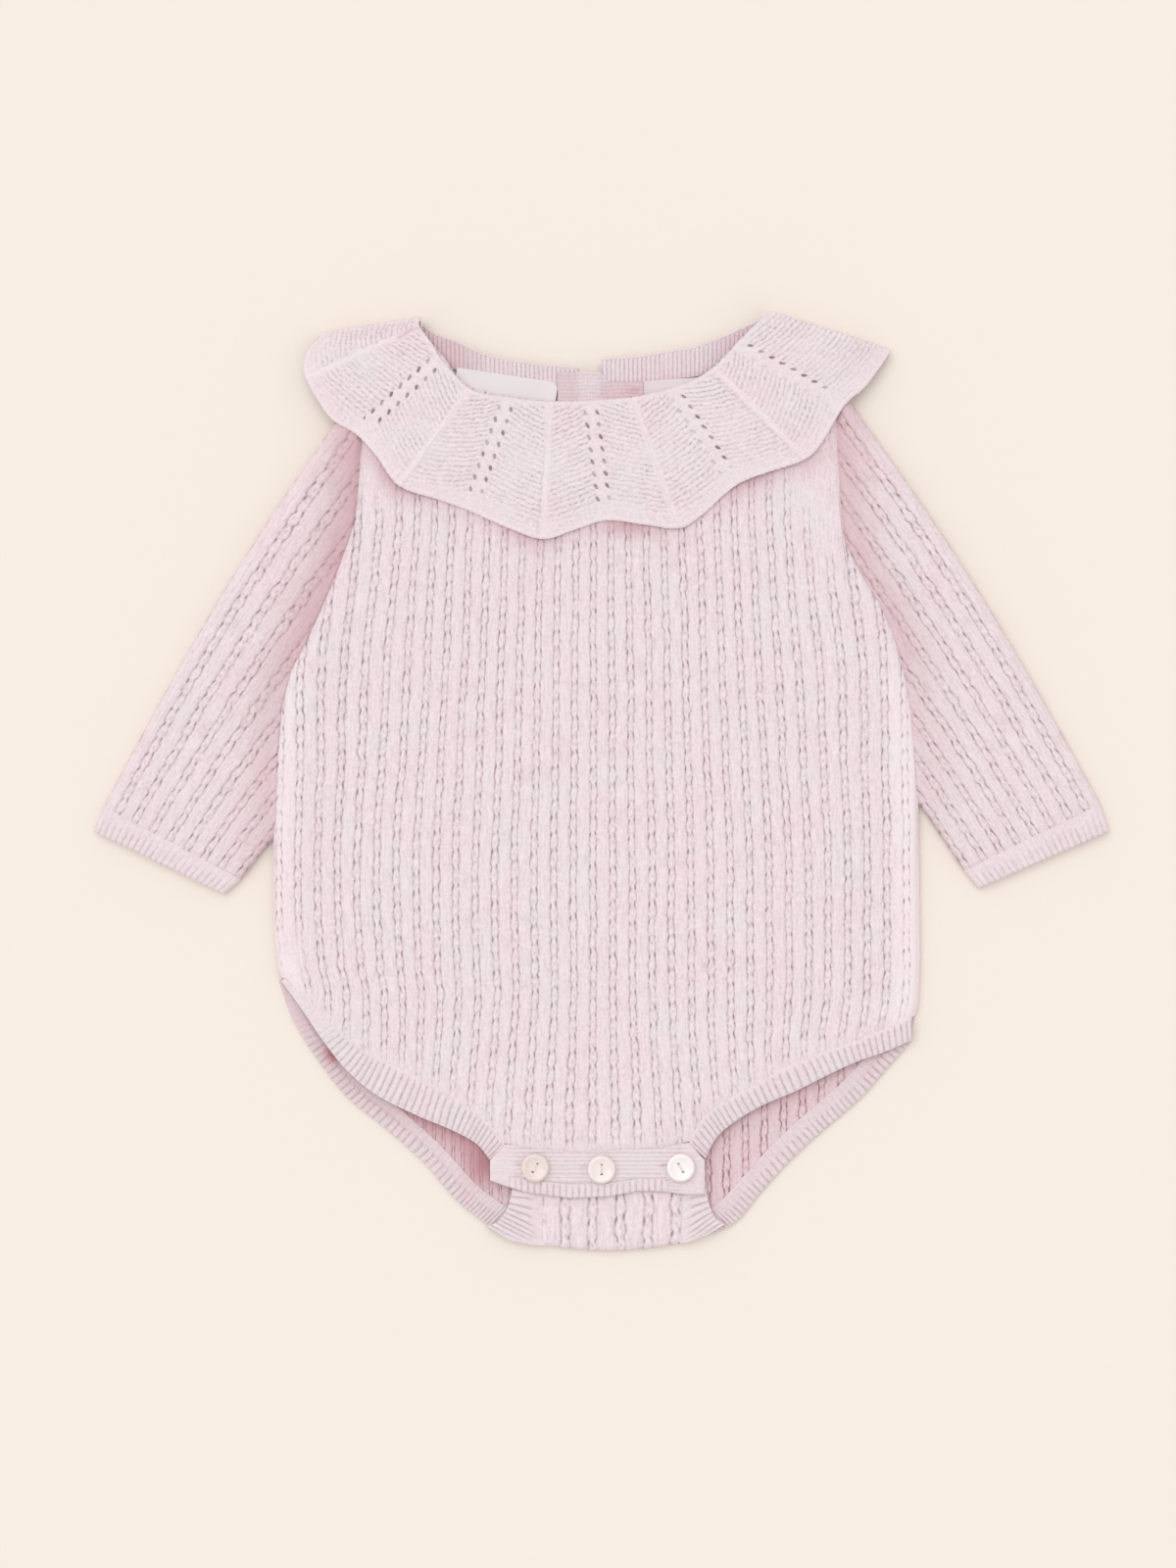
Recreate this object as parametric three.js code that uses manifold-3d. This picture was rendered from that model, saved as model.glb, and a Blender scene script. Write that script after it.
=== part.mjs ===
// A knitted long-sleeved baby romper with an openwork ruffle collar, laid flat on its back.
// Millimetres, +Z up from the surface that it lies on. +Y runs to the neck, and +X to a viewer's right.
// The origin is on the underside of the back panel, below the body's centre line.
import * as THREE from "three";
import { mergeVertices } from "three/addons/utils/BufferGeometryUtils.js";
import Module from "manifold-3d";

const wasm = await Module();
wasm.setup();
const { lerp, smoothstep, clamp } = THREE.MathUtils;

// Driving sizes
const gap = 0.3; // between pieces at a seam
const armholeGap = 0.6;
const wall = { body: 1.5, band: 1.6, ruffle: 1.2, strip: 1.0, label: 0.4 };
const bodyRib = { across: 33, groove: 0.62, wide: 0.31, chain: 0.81, rise: 0.7 };
const sleeveRibs = 8;
const sleeveWidth = 55;
const fineRib = { pitch: 2.3, rise: 0.55 };
const bandWidth = 10;
const bandDrop = 0.5; // the free edge of a front band lies this much below the panel
const neckRib = { pitch: 1.6, rise: 0.4, clear: 0.06 };
const height = { body: 4.6, sleeveMiddle: 5.0, sleeveEnd: 3.6, cuff: 3.9, ruffleRoot: 7.4, ruffleWave: 2.2 };
const underlay = { rise: 1.7, starts: 15, full: 90 }; // the back ruffle lifts the yoke by this much
const crotchRise = { height: 1.3, starts: -95, full: -128 };
const edgeRound = { side: 4.5, armhole: 7, tube: 3.2 };
const straightSide = 5; // the sides run straight below this height and curve into the armholes above it
const armholeUnits = 5; // this many ribs at each side end at the armhole
// The ribs spread out above the placket, and the outer ones lean in beside the armholes
const fan = { by: 4.2, over: 18, full: 45, none: 85, starts: 60, ends: 140 };
const lean = { by: 5, starts: 30, ends: 100, none: 60, full: 100 };
const beyond = { below: -172, above: 175, cuffToArmhole: 260 }; // past the ends of every column
const seamTouch = 0.01;
const hemGap = gap * 2;
const neckSeamGap = 0.75; // enough that the straight stretches between columns clear the curved neckband
const labelCorner = 2;

// The side seams and armholes, x for each height y
const leftSide = [
  { y: -75, x: -113.2 },
  { y: -66, x: -115.7 },
  { y: -50, x: -117.2 },
  { y: -28, x: -117.5 },
  { y: -6, x: -117.2 },
  { y: 11, x: -116.4 },
  { y: 29, x: -114.7 },
  { y: 42, x: -111.1 },
  { y: 53, x: -105.4 },
  { y: 69, x: -98.3 },
  { y: 83, x: -92.3 },
  { y: 96, x: -87.7 },
  { y: 108, x: -86.6 },
  { y: 150, x: -84 },
];
const rightSide = [
  { y: -92, x: 114 },
  { y: -87, x: 114.9 },
  { y: -79, x: 116.6 },
  { y: -64, x: 117.2 },
  { y: -10, x: 116.8 },
  { y: 6, x: 116.4 },
  { y: 21, x: 114.9 },
  { y: 33, x: 113.4 },
  { y: 44, x: 111.2 },
  { y: 56, x: 107.4 },
  { y: 67, x: 102.6 },
  { y: 77, x: 96.2 },
  { y: 89, x: 90 },
  { y: 104, x: 88.4 },
  { y: 150, x: 86 },
];
// The shoulders and the front neck edge
const frontCrown = [
  { x: -84.6, y: 146 },
  { x: -61, y: 161 },
  { x: -55, y: 154 },
  { x: -50.6, y: 147.5 },
  { x: -45, y: 143 },
  { x: -35, y: 140.6 },
  { x: -17, y: 138.4 },
  { x: 1, y: 138.8 },
  { x: 16, y: 140.2 },
  { x: 29, y: 143.4 },
  { x: 39, y: 148 },
  { x: 46.6, y: 155.5 },
  { x: 55, y: 163.5 },
  { x: 59, y: 165 },
  { x: 86.4, y: 146 },
];
// The leg bands, as matching points of the free edge and of the seam to the panel
const frontBandLeft = [
  { freeX: -114.2, freeY: -71.6, seamX: -113.0, seamY: -70.2 },
  { freeX: -106.9, freeY: -81.7, seamX: -103.6, seamY: -79.2 },
  { freeX: -99.4, freeY: -92.6, seamX: -94.2, seamY: -88.6 },
  { freeX: -90.6, freeY: -103.6, seamX: -84.4, seamY: -96.2 },
  { freeX: -79.9, freeY: -112.5, seamX: -74.0, seamY: -101.2 },
  { freeX: -66.0, freeY: -119.6, seamX: -61.6, seamY: -107.6 },
  { freeX: -52.6, freeY: -125.3, seamX: -48.6, seamY: -114.9 },
  { freeX: -43.8, freeY: -130.2, seamX: -39.4, seamY: -122.6 },
  { freeX: -39.6, freeY: -135.2, seamX: -33.9, seamY: -129.6 },
];
const frontBandRight = [
  { freeX: 114.0, freeY: -92.9, seamX: 114.0, seamY: -84.4 },
  { freeX: 104.5, freeY: -97.0, seamX: 103.6, seamY: -88.8 },
  { freeX: 94.8, freeY: -100.4, seamX: 92.6, seamY: -93.6 },
  { freeX: 84.4, freeY: -105.0, seamX: 80.4, seamY: -97.6 },
  { freeX: 72.0, freeY: -111.2, seamX: 67.8, seamY: -102.8 },
  { freeX: 60.4, freeY: -116.2, seamX: 56.6, seamY: -109.2 },
  { freeX: 50.6, freeY: -121.9, seamX: 46.0, seamY: -114.9 },
  { freeX: 43.6, freeY: -127.9, seamX: 38.4, seamY: -120.7 },
  { freeX: 39.9, freeY: -134.6, seamX: 33.8, seamY: -129.0 },
];
const backBandLeft = [
  { freeX: -115.3, freeY: -71.4, seamX: -105.5, seamY: -68.8 },
  { freeX: -109.8, freeY: -86.6, seamX: -100.2, seamY: -82.4 },
  { freeX: -101.0, freeY: -100.4, seamX: -92.6, seamY: -94.4 },
  { freeX: -91.0, freeY: -113.2, seamX: -82.8, seamY: -106.2 },
  { freeX: -76.8, freeY: -124.9, seamX: -69.5, seamY: -117.2 },
  { freeX: -63.0, freeY: -137.2, seamX: -55.4, seamY: -130.0 },
  { freeX: -51.8, freeY: -150.2, seamX: -44.0, seamY: -142.6 },
  { freeX: -43.0, freeY: -157.6, seamX: -34.8, seamY: -150.0 },
  { freeX: -34.2, freeY: -163.4, seamX: -27.0, seamY: -154.6 },
  { freeX: -19.8, freeY: -167.4, seamX: -19.4, seamY: -157.4 },
];
const backBandRight = [
  { freeX: 114.2, freeY: -93.4, seamX: 105.2, seamY: -88.4 },
  { freeX: 106.0, freeY: -102.4, seamX: 98.4, seamY: -95.6 },
  { freeX: 96.4, freeY: -113.2, seamX: 89.4, seamY: -105.6 },
  { freeX: 87.6, freeY: -121.0, seamX: 80.8, seamY: -113.3 },
  { freeX: 77.7, freeY: -129.4, seamX: 71.0, seamY: -121.8 },
  { freeX: 67.6, freeY: -139.2, seamX: 60.6, seamY: -131.8 },
  { freeX: 58.6, freeY: -149.2, seamX: 51.0, seamY: -142.4 },
  { freeX: 51.4, freeY: -158.0, seamX: 43.2, seamY: -150.6 },
  { freeX: 44.0, freeY: -162.4, seamX: 36.4, seamY: -154.6 },
  { freeX: 30.5, freeY: -166.6, seamX: 30.3, seamY: -156.4 },
];
const flapBandLeft = [
  { freeX: -30.2, freeY: -136.0, seamX: -19.4, seamY: -136.0 },
  { freeX: -30.6, freeY: -145.0, seamX: -19.4, seamY: -145.0 },
  { freeX: -31.6, freeY: -151.5, seamX: -19.4, seamY: -154.0 },
  { freeX: -33.5, freeY: -155.5, seamX: -19.6, seamY: -162.0 },
  { freeX: -36.0, freeY: -158.6, seamX: -22.5, seamY: -167.2 },
  { freeX: -40.2, freeY: -160.6, seamX: -31.5, seamY: -165.8 },
];
const flapBandRight = [
  { freeX: 39.2, freeY: -136.0, seamX: 30.3, seamY: -136.0 },
  { freeX: 39.4, freeY: -144.0, seamX: 30.3, seamY: -144.6 },
  { freeX: 40.2, freeY: -150.2, seamX: 30.3, seamY: -152.5 },
  { freeX: 41.6, freeY: -154.6, seamX: 30.5, seamY: -160.5 },
  { freeX: 43.6, freeY: -158.2, seamX: 33.4, seamY: -165.8 },
  { freeX: 48.0, freeY: -161.4, seamX: 41.5, seamY: -164.6 },
];
const placketEdges = [
  { x: -38.6, top: -136.0, bottom: -143.4 },
  { x: -33.0, top: -130.2, bottom: -145.4 },
  { x: -26.0, top: -131.6, bottom: -147.6 },
  { x: -10.0, top: -132.8, bottom: -149.8 },
  { x: 4.0, top: -132.6, bottom: -149.2 },
  { x: 15.0, top: -132.0, bottom: -147.2 },
  { x: 24.0, top: -131.4, bottom: -147.4 },
  { x: 33.2, top: -129.6, bottom: -148.6 },
  { x: 38.9, top: -136.0, bottom: -148.2 },
];
// The crotch fold, where the back panel turns up to the front
const fold = { x: 4, y: -169.3, curve: 0.0038, height: 3.7, seam: -157.0 };
const flapSides = { left: -19.0, right: 29.9, top: -133.5, columns: 5, turn: 5 };
const flapBandRise = 0.5; // the side bands of the flap lie over the leg bands behind
// The neck edge and the outer edge of the ruffle, at its raised lines, its openwork lines and between them
const ruffleLines = [
  { neckX: -63.9, neckY: 167.4, outX: -100.4, outY: 161.6, lift: 0.0, hangs: 3.6 },
  { neckX: -64.6, neckY: 166.6, outX: -105.5, outY: 155.0, lift: 0.4, hangs: 2.9 },
  { neckX: -63.9, neckY: 164.6, outX: -105.2, outY: 146.4, lift: 0.7, hangs: 2.2 },
  { neckX: -59.7, neckY: 158.8, outX: -96.5, outY: 132.5, lift: 0.3, hangs: 1.2 },
  { neckX: -56.6, neckY: 153.7, outX: -87.0, outY: 126.4, lift: 0.0, hangs: 0.5 },
  { neckX: -51.4, neckY: 147.6, outX: -79.5, outY: 118.2, lift: 0.5, hangs: 0.2 },
  { neckX: -45.8, neckY: 142.4, outX: -71.4, outY: 107.6, lift: 1.0, hangs: 0.0 },
  { neckX: -39.2, neckY: 140.4, outX: -56.4, outY: 102.4, lift: 0.5, hangs: 0.0 },
  { neckX: -31.6, neckY: 139.5, outX: -46.1, outY: 98.6, lift: 0.0, hangs: 0.0 },
  { neckX: -24.4, neckY: 138.4, outX: -30.9, outY: 91.9, lift: 0.4, hangs: 0.0 },
  { neckX: -17.0, neckY: 137.9, outX: -19.2, outY: 88.4, lift: 0.8, hangs: 0.0 },
  { neckX: -9.6, neckY: 137.8, outX: -7.5, outY: 91.9, lift: 0.4, hangs: 0.0 },
  { neckX: -2.5, neckY: 138.2, outX: 3.5, outY: 95.2, lift: 0.0, hangs: 0.0 },
  { neckX: 5.4, neckY: 138.8, outX: 16.7, outY: 93.7, lift: 0.5, hangs: 0.0 },
  { neckX: 12.8, neckY: 139.4, outX: 29.5, outY: 92.3, lift: 1.0, hangs: 0.0 },
  { neckX: 20.2, neckY: 140.9, outX: 37.6, outY: 96.8, lift: 0.5, hangs: 0.0 },
  { neckX: 27.0, neckY: 142.7, outX: 50.3, outY: 107.9, lift: 0.1, hangs: 0.0 },
  { neckX: 34.8, neckY: 145.6, outX: 61.8, outY: 112.6, lift: 0.5, hangs: 0.0 },
  { neckX: 42.2, neckY: 150.3, outX: 75.6, outY: 117.4, lift: 0.8, hangs: 0.2 },
  { neckX: 46.6, neckY: 154.4, outX: 82.0, outY: 124.3, lift: 0.4, hangs: 0.4 },
  { neckX: 50.3, neckY: 158.8, outX: 89.6, outY: 136.9, lift: 0.0, hangs: 0.7 },
  { neckX: 56.0, neckY: 164.4, outX: 97.7, outY: 144.3, lift: 0.1, hangs: 2.0 },
  { neckX: 61.9, neckY: 169.6, outX: 106.0, outY: 156.0, lift: 0.0, hangs: 3.6 },
];
const backRuffleLines = [
  { neckX: -60.6, neckY: 162.2, outX: -98.8, outY: 156.0 },
  { neckX: -52.0, neckY: 158.4, outX: -89.0, outY: 130.4 },
  { neckX: -41.5, neckY: 153.8, outX: -66.0, outY: 111.6 },
  { neckX: -24.0, neckY: 150.4, outX: -33.0, outY: 104.0 },
  { neckX: -4.0, neckY: 148.9, outX: -4.4, outY: 103.2 },
  { neckX: 0.4, neckY: 152.0, outX: 0.8, outY: 103.0 },
  { neckX: 24.0, neckY: 154.4, outX: 33.0, outY: 104.0 },
  { neckX: 43.5, neckY: 159.0, outX: 68.0, outY: 112.0 },
  { neckX: 52.6, neckY: 162.8, outX: 91.0, outY: 131.0 },
  { neckX: 58.8, neckY: 166.0, outX: 103.6, outY: 151.0 },
];
// How the ruffle turns under at a shoulder: how far the turn stands out and comes back, and its direction
const ruffleTurn = { out: 1.8, back: 1.2, left: { x: 0.1, y: 1 }, right: { x: 0.3, y: 0.95 } };
const ruffleDroop = { starts: 0.62, curl: 1.3 };
const backRuffleSplit = 4; // the opening at the back parts the ruffle after this line
// The back neckband, as its upper edge
const neckbandLeft = [
  { x: -57.6, y: 162.6 },
  { x: -51.6, y: 160.8 },
  { x: -41.3, y: 155.9 },
  { x: -31, y: 153.5 },
  { x: -18.9, y: 151.8 },
  { x: -7.1, y: 150.8 },
];
const neckbandRight = [
  { x: 2.0, y: 154.0 },
  { x: 14.6, y: 154.8 },
  { x: 27.5, y: 156.8 },
  { x: 36.1, y: 158.4 },
  { x: 44.7, y: 161.6 },
  { x: 52.0, y: 164.8 },
  { x: 57.4, y: 167.4 },
];
const neckbandWidth = 6.9;
const belowNeckband = ({ x, y }) => ({ x, y: y - neckbandWidth - neckSeamGap });
// The shoulders and the back neck edge, which the neckband is sewn to
const backCrown = [
  { x: -84.6, y: 146 },
  { x: -60, y: 158.4 },
  ...neckbandLeft.map(belowNeckband),
  { x: 1.4, y: 143.2 },
  ...neckbandRight.map(belowNeckband),
  { x: 59.4, y: 161 },
  { x: 86.4, y: 146 },
];
const sleeves = {
  left: {
    cuffOuter: { x: -182.6, y: -17 },
    cuffInner: { x: -135, y: -40 },
    seamOuter: { x: -178.8, y: -8 },
    seamInner: { x: -129, y: -34.6 },
    shoulder: { x: -84.4, y: 145.6 },
    underarm: { x: -117.6, y: -20 },
  },
  right: {
    cuffOuter: { x: 186, y: -17 },
    cuffInner: { x: 138.2, y: -37.8 },
    seamOuter: { x: 182.6, y: -7 },
    seamInner: { x: 133, y: -31.4 },
    shoulder: { x: 86.2, y: 145.6 },
    underarm: { x: 117.4, y: -8 },
  },
};
const sleeveBulge = 3.6;
// The main soft hollows of the front, each between two points
const hollows = [
  { fromX: 62, fromY: 100, toX: 82, toY: 14, width: 13, depth: 0.9 },
  { fromX: -52, fromY: 92, toX: -34, toY: 20, width: 12, depth: 0.7 },
  { fromX: 102, fromY: 5, toX: 103, toY: -78, width: 7, depth: 0.9 },
  { fromX: -98, fromY: 30, toX: -94, toY: -60, width: 9, depth: 0.6 },
];
const buttons = { radius: 5.1, height: 2.1, holeRadius: 0.8, holeApart: 3.2, above: 7.4 };
const buttonPlaces = [
  { x: -22.3, y: -138.6, turn: 60 },
  { x: 1.7, y: -139.2, turn: 90 },
  { x: 30.3, y: -138.6, turn: 120 },
];
const buttonStand = { left: -6.6, right: 16.2, step: 1.4, bottom: 112, top: 149.1, rightTop: 145.6 };
const labelLeft = { x: -33.2, y: 140.1, width: 37, length: 12.4, turn: -7 };
const labelRight = { x: 28.6, y: 141.0, width: 23, length: 11, turn: 4 };

// Reading the tables: a straight line between the rows on each side
function read(rows, key, value, at) {
  if (at <= rows[0][key]) return rows[0][value];
  const next = rows.findIndex((row) => row[key] >= at);
  if (next < 0) return rows[rows.length - 1][value];
  const [a, b] = [rows[next - 1], rows[next]];
  return lerp(a[value], b[value], (at - a[key]) / (b[key] - a[key]));
}

// Reading matching lines by their place along the table, from 0 to 1
function along(rows, place) {
  const at = {};
  for (const name of Object.keys(rows[0])) {
    const path = new THREE.SplineCurve(rows.map((row, i) => new THREE.Vector2(i, row[name])));
    at[name] = path.getPoint(place).y;
  }
  return at;
}

const sideX = (x, y) => (x < 0 ? read(leftSide, "y", "x", y) : read(rightSide, "y", "x", y));
const lifted = (y) => underlay.rise * clamp((y - underlay.starts) / (underlay.full - underlay.starts), 0, 1);
const quarterRound = (share) => Math.sqrt(1 - (1 - clamp(share, 0, 1)) ** 2);
const steps = (count) => Array.from({ length: count + 1 }, (_, i) => i / count);
const wave = (i) => (i % 2 ? 1 : 0);

// Builds a closed solid from triangles; a solid that comes out inside out is turned
function solidFrom(triangles) {
  let volume = 0;
  for (const [a, b, c] of triangles) volume += a.dot(b.clone().cross(c));
  const spots = [];
  for (const [a, b, c] of triangles) spots.push(...(volume > 0 ? [a, b, c] : [a, c, b]));
  return new THREE.BufferGeometry().setFromPoints(spots);
}

// The faces of a grid of points, rows within columns
function gridFaces(grid, turned) {
  const faces = [];
  for (let i = 0; i + 1 < grid.length; i++)
    for (let j = 0; j + 1 < grid[i].length; j++) {
      const [a, b, c, d] = [grid[i][j], grid[i + 1][j], grid[i + 1][j + 1], grid[i][j + 1]];
      faces.push([a, b, c], [a, c, d]);
    }
  return turned ? faces.map(([a, b, c]) => [a, c, b]) : faces;
}

// Joins two edges with different numbers of points, by the shorter diagonal each time
function rimFaces(outer, inner) {
  const faces = [];
  let [i, j] = [0, 0];
  while (i + 1 < outer.length || j + 1 < inner.length) {
    const canOuter = i + 1 < outer.length;
    const canInner = j + 1 < inner.length;
    const reachOuter = canOuter ? outer[i + 1].distanceTo(inner[j]) : Infinity;
    const reachInner = canInner ? inner[j + 1].distanceTo(outer[i]) : Infinity;
    if (reachOuter <= reachInner) {
      faces.push([outer[i + 1], outer[i], inner[j]]);
      i += 1;
    } else {
      faces.push([outer[i], inner[j], inner[j + 1]]);
      j += 1;
    }
  }
  return faces;
}

const firstRow = (grid) => grid.map((column) => column[0]);
const lastRow = (grid) => grid.map((column) => column[column.length - 1]);

// A cloth wall between a fine outer grid and a plain inner one; a tube's columns meet round it
function clothWall(outer, inner, tube = false) {
  const faces = [...gridFaces(outer, false), ...gridFaces(inner, true)];
  faces.push(...rimFaces(firstRow(outer), firstRow(inner)));
  faces.push(...rimFaces(lastRow(outer).reverse(), lastRow(inner).reverse()));
  if (!tube) {
    faces.push(...rimFaces(outer[outer.length - 1], inner[inner.length - 1]));
    faces.push(...rimFaces([...outer[0]].reverse(), [...inner[0]].reverse()));
  }
  return solidFrom(faces);
}

// Columns of the body knit: a wide plain rib, a groove, a narrow chain, a groove
function ribColumns(from, to) {
  const columns = [{ at: from, rise: 0 }];
  for (let unit = Math.floor(from); unit < to; unit++) {
    const marks = [
      { at: unit, rise: 0 },
      { at: unit + bodyRib.wide, rise: 1 },
      { at: unit + bodyRib.groove, rise: 0 },
      { at: unit + bodyRib.chain, rise: 0.9 },
    ];
    columns.push(...marks.filter((mark) => mark.at > from + 0.05 && mark.at < to - 0.05));
  }
  columns.push({ at: to, rise: 0 });
  return columns;
}

// The body's columns run straight, fan out to the crotch and lean in at the armholes
function columnX(column, y, fans) {
  const share = column / (bodyRib.across / 2);
  const x = Math.abs(share) * sideX(share, Math.min(y, straightSide));
  const size = Math.abs(x);
  const low = smoothstep(-y, fan.starts, fan.ends);
  const high = smoothstep(y, lean.starts, lean.ends);
  const fanOut = fan.by * Math.tanh(x / fan.over) * (1 - smoothstep(size, fan.full, fan.none)) * low;
  const leanIn = lean.by * Math.sign(x) * smoothstep(size, lean.none, lean.full) * high;
  return x + (fans ? fanOut : 0) - leanIn;
}

// Where a column leaves the panel, by halving the stretch between a point inside it and one outside
function columnEnd(inside, outside, isInside) {
  let [near, far] = [inside, outside];
  for (let i = 0; i < 40; i++) {
    const middle = (near + far) / 2;
    if (isInside(middle)) near = middle;
    else far = middle;
  }
  return near;
}

function panelColumn(column, panel, inset, fans) {
  const isInside = (y) => {
    const x = columnX(column, y, fans);
    const left = read(leftSide, "y", "x", y) + inset - seamTouch;
    const right = read(rightSide, "y", "x", y) - inset + seamTouch;
    const isSide = Math.abs(column) > bodyRib.across / 2 - 0.3;
    if (y < straightSide && isSide) return y >= panel.hem(x);
    return x >= left && x <= right && y <= panel.crown(x) && y >= panel.hem(x);
  };
  const bottom = columnEnd(0, beyond.below, isInside);
  const top = columnEnd(0, beyond.above, isInside);
  return { bottom, top };
}

// Shares of each column's length, closer together at its two ends
const frontRows = [0, 0.04, 0.14, 0.4, 0.68, 0.88, 0.96, 1];
const plainRows = [0, 0.06, 0.28, 0.56, 0.76, 0.92, 1];
const sleeveRows = [0, 0.16, 0.36, 0.58, 0.78, 0.92, 1];
const bandRows = [0, 0.1, 0.9, 1];
const ruffleRows = [0, 0.12, 0.3, 0.5, 0.7, 0.85, 1];

function hollowDepth(x, y) {
  let depth = 0;
  for (const h of hollows) {
    const line = new THREE.Line3(
      new THREE.Vector3(h.fromX, h.fromY, 0),
      new THREE.Vector3(h.toX, h.toY, 0),
    );
    const spot = new THREE.Vector3(x, y, 0);
    const away = line.closestPointToPoint(spot, true, new THREE.Vector3()).distanceTo(spot);
    depth += h.depth * Math.exp(-((away / h.width) ** 2));
  }
  return depth;
}

// The front panel's outer height, without its ribs
function frontHeight(x, y, inset = 0, thickness = 0) {
  const fromEdge = Math.abs(sideX(x, y)) - Math.abs(x) - inset;
  const round = y > straightSide ? edgeRound.armhole : edgeRound.side;
  const low = lifted(y) + wall.body + gap + 0.1;
  const rise = crotchRise.height * smoothstep(-y, -crotchRise.starts, -crotchRise.full);
  const high = lifted(y) + height.body + rise - hollowDepth(x, y) - thickness;
  return low + (high - low) * quarterRound(fromEdge / round);
}

// The seam line of a leg band as a table, moved off the band
function seamRows(rows, moveX, moveY) {
  return steps(24).map((place) => {
    const at = along(rows, place);
    return { x: at.seamX + moveX, y: at.seamY + moveY };
  });
}

const frontHem = [
  { x: -114.6, y: -69.6 },
  ...seamRows(frontBandLeft, 0, hemGap),
  ...placketEdges.slice(2, 7).map((row) => ({ x: row.x, y: row.top + gap })),
  ...seamRows(frontBandRight, 0, hemGap).reverse(),
  { x: 115.6, y: -83.4 },
];
const backHem = [
  { x: -117.6, y: -68.0 },
  ...seamRows(backBandLeft, gap, gap * 1.2),
  { x: -18.6, y: fold.seam },
  { x: 29.2, y: fold.seam },
  ...seamRows(backBandRight, -gap, gap * 1.2).reverse(),
  { x: 117.6, y: -87.0 },
];

// Plain columns, closer together where they end at an armhole. An odd number of spaces keeps them off the
// centre line, so the rest point lies within a flat face.
function plainColumns() {
  const half = bodyRib.across / 2;
  const near = half - armholeUnits;
  const middle = steps(Math.floor(near)).map((share) => lerp(-near, near, share));
  const side = steps(armholeUnits * 3).map((share) => lerp(near, half, share)).slice(1);
  return [...side.map((at) => -at).reverse(), ...middle, ...side];
}

function frontPanel() {
  const panel = {
    crown: (x) => read(frontCrown, "x", "y", x),
    hem: (x) => read(frontHem, "x", "y", x),
  };
  const half = bodyRib.across / 2;
  const outer = ribColumns(-half, half).map(({ at, rise }) => {
    const { bottom, top } = panelColumn(at, panel, 0, true);
    return frontRows.map((share) => {
      const y = lerp(bottom, top, share);
      const x = columnX(at, y, true);
      return new THREE.Vector3(x, y, frontHeight(x, y) + rise * bodyRib.rise);
    });
  });
  const inner = plainColumns().map((at) => {
    const { bottom, top } = panelColumn(at, panel, wall.body, true);
    return plainRows.map((part) => {
      const y = lerp(bottom, top, part);
      const side = sideX(at, y);
      const reach = Math.abs(side) - wall.body;
      const x = clamp(columnX(at, y, true), -reach, reach);
      return new THREE.Vector3(x, y, frontHeight(x, y, wall.body, wall.body));
    });
  });
  return clothWall(outer, inner);
}

function backPanel() {
  const panel = {
    crown: (x) => read(backCrown, "x", "y", x),
    hem: (x) => read(backHem, "x", "y", x),
  };
  const layer = (level) =>
    plainColumns().map((at) => {
      const { bottom, top } = panelColumn(at, panel, 0, false);
      return plainRows.map((part) => {
        const y = lerp(bottom, top, part);
        return new THREE.Vector3(columnX(at, y, false), y, lifted(y) + level);
      });
    });
  return clothWall(layer(wall.body), layer(0));
}

// A sleeve is a flattened tube; place 0 is its cuff seam and place 1 its armhole
function sleeve(side) {
  const s = sleeves[side];
  const out = side === "left" ? -1 : 1;
  const mark = (name) => new THREE.Vector2(s[name].x, s[name].y);
  const from = (c) => mark("seamOuter").lerp(mark("seamInner"), c);
  const upper = mark("shoulder").sub(mark("seamOuter")).normalize();
  const lower = mark("underarm").sub(mark("seamInner")).normalize();
  const armholeEnd = (c) => {
    const start = from(c);
    const way = upper.clone().lerp(lower, c).normalize();
    const clear = (reach) => {
      const spot = start.clone().addScaledVector(way, reach);
      return spot.x * out > sideX(out, spot.y) * out + armholeGap;
    };
    return start.clone().addScaledVector(way, columnEnd(0, beyond.cuffToArmhole, clear));
  };
  const spot = (c, place) => {
    const at = from(c).lerp(armholeEnd(c), place);
    const bulge = sleeveBulge * Math.sin(Math.PI * place) * (1 - c) ** 1.5;
    return at.add(new THREE.Vector2(out * upper.y, -out * upper.x).multiplyScalar(bulge));
  };
  const level = (c, place, inset) => {
    const at = spot(c, place);
    const base = lifted(at.y);
    const tall = lerp(height.cuff, height.sleeveMiddle, smoothstep(place, 0, 0.3));
    const total = lerp(tall, height.sleeveEnd, smoothstep(place, 0.55, 1));
    const round = quarterRound((Math.min(c, 1 - c) * sleeveWidth - inset) / edgeRound.tube);
    return { at, middle: base + total / 2, half: total / 2 - inset, round };
  };
  const ribs = ribColumns(0, sleeveRibs);
  const outerColumns = ribs.map(({ at, rise }) => ({ c: at / sleeveRibs, top: 1, rise }));
  const underShares = [0.97, ...steps(14).reverse().slice(1, -1), 0.03, 0];
  const underColumns = underShares.map((c) => ({ c, top: -1, rise: 0 }));
  const outer = [...outerColumns, ...underColumns].map(({ c, top, rise }) =>
    sleeveRows.map((place) => {
      const { at, middle, half, round } = level(c, place, 0);
      const z = middle + top * half * round + rise * round * bodyRib.rise;
      return new THREE.Vector3(at.x, at.y, z);
    }),
  );
  const edge = wall.body / sleeveWidth;
  const shares = [0, 0.04, ...steps(14).slice(1, -1), 0.96, 1];
  const across = [
    ...shares.map((share) => ({ share, top: 1 })),
    ...shares.slice(0, -1).reverse().map((share) => ({ share, top: -1 })),
  ];
  const inner = across.map(({ share, top }) =>
    sleeveRows.map((place) => {
      const c = lerp(edge, 1 - edge, share);
      const { at, middle, half, round } = level(c, place, wall.body);
      return new THREE.Vector3(at.x, at.y, middle + top * half * round);
    }),
  );
  return clothWall(outer, inner, true);
}

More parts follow.
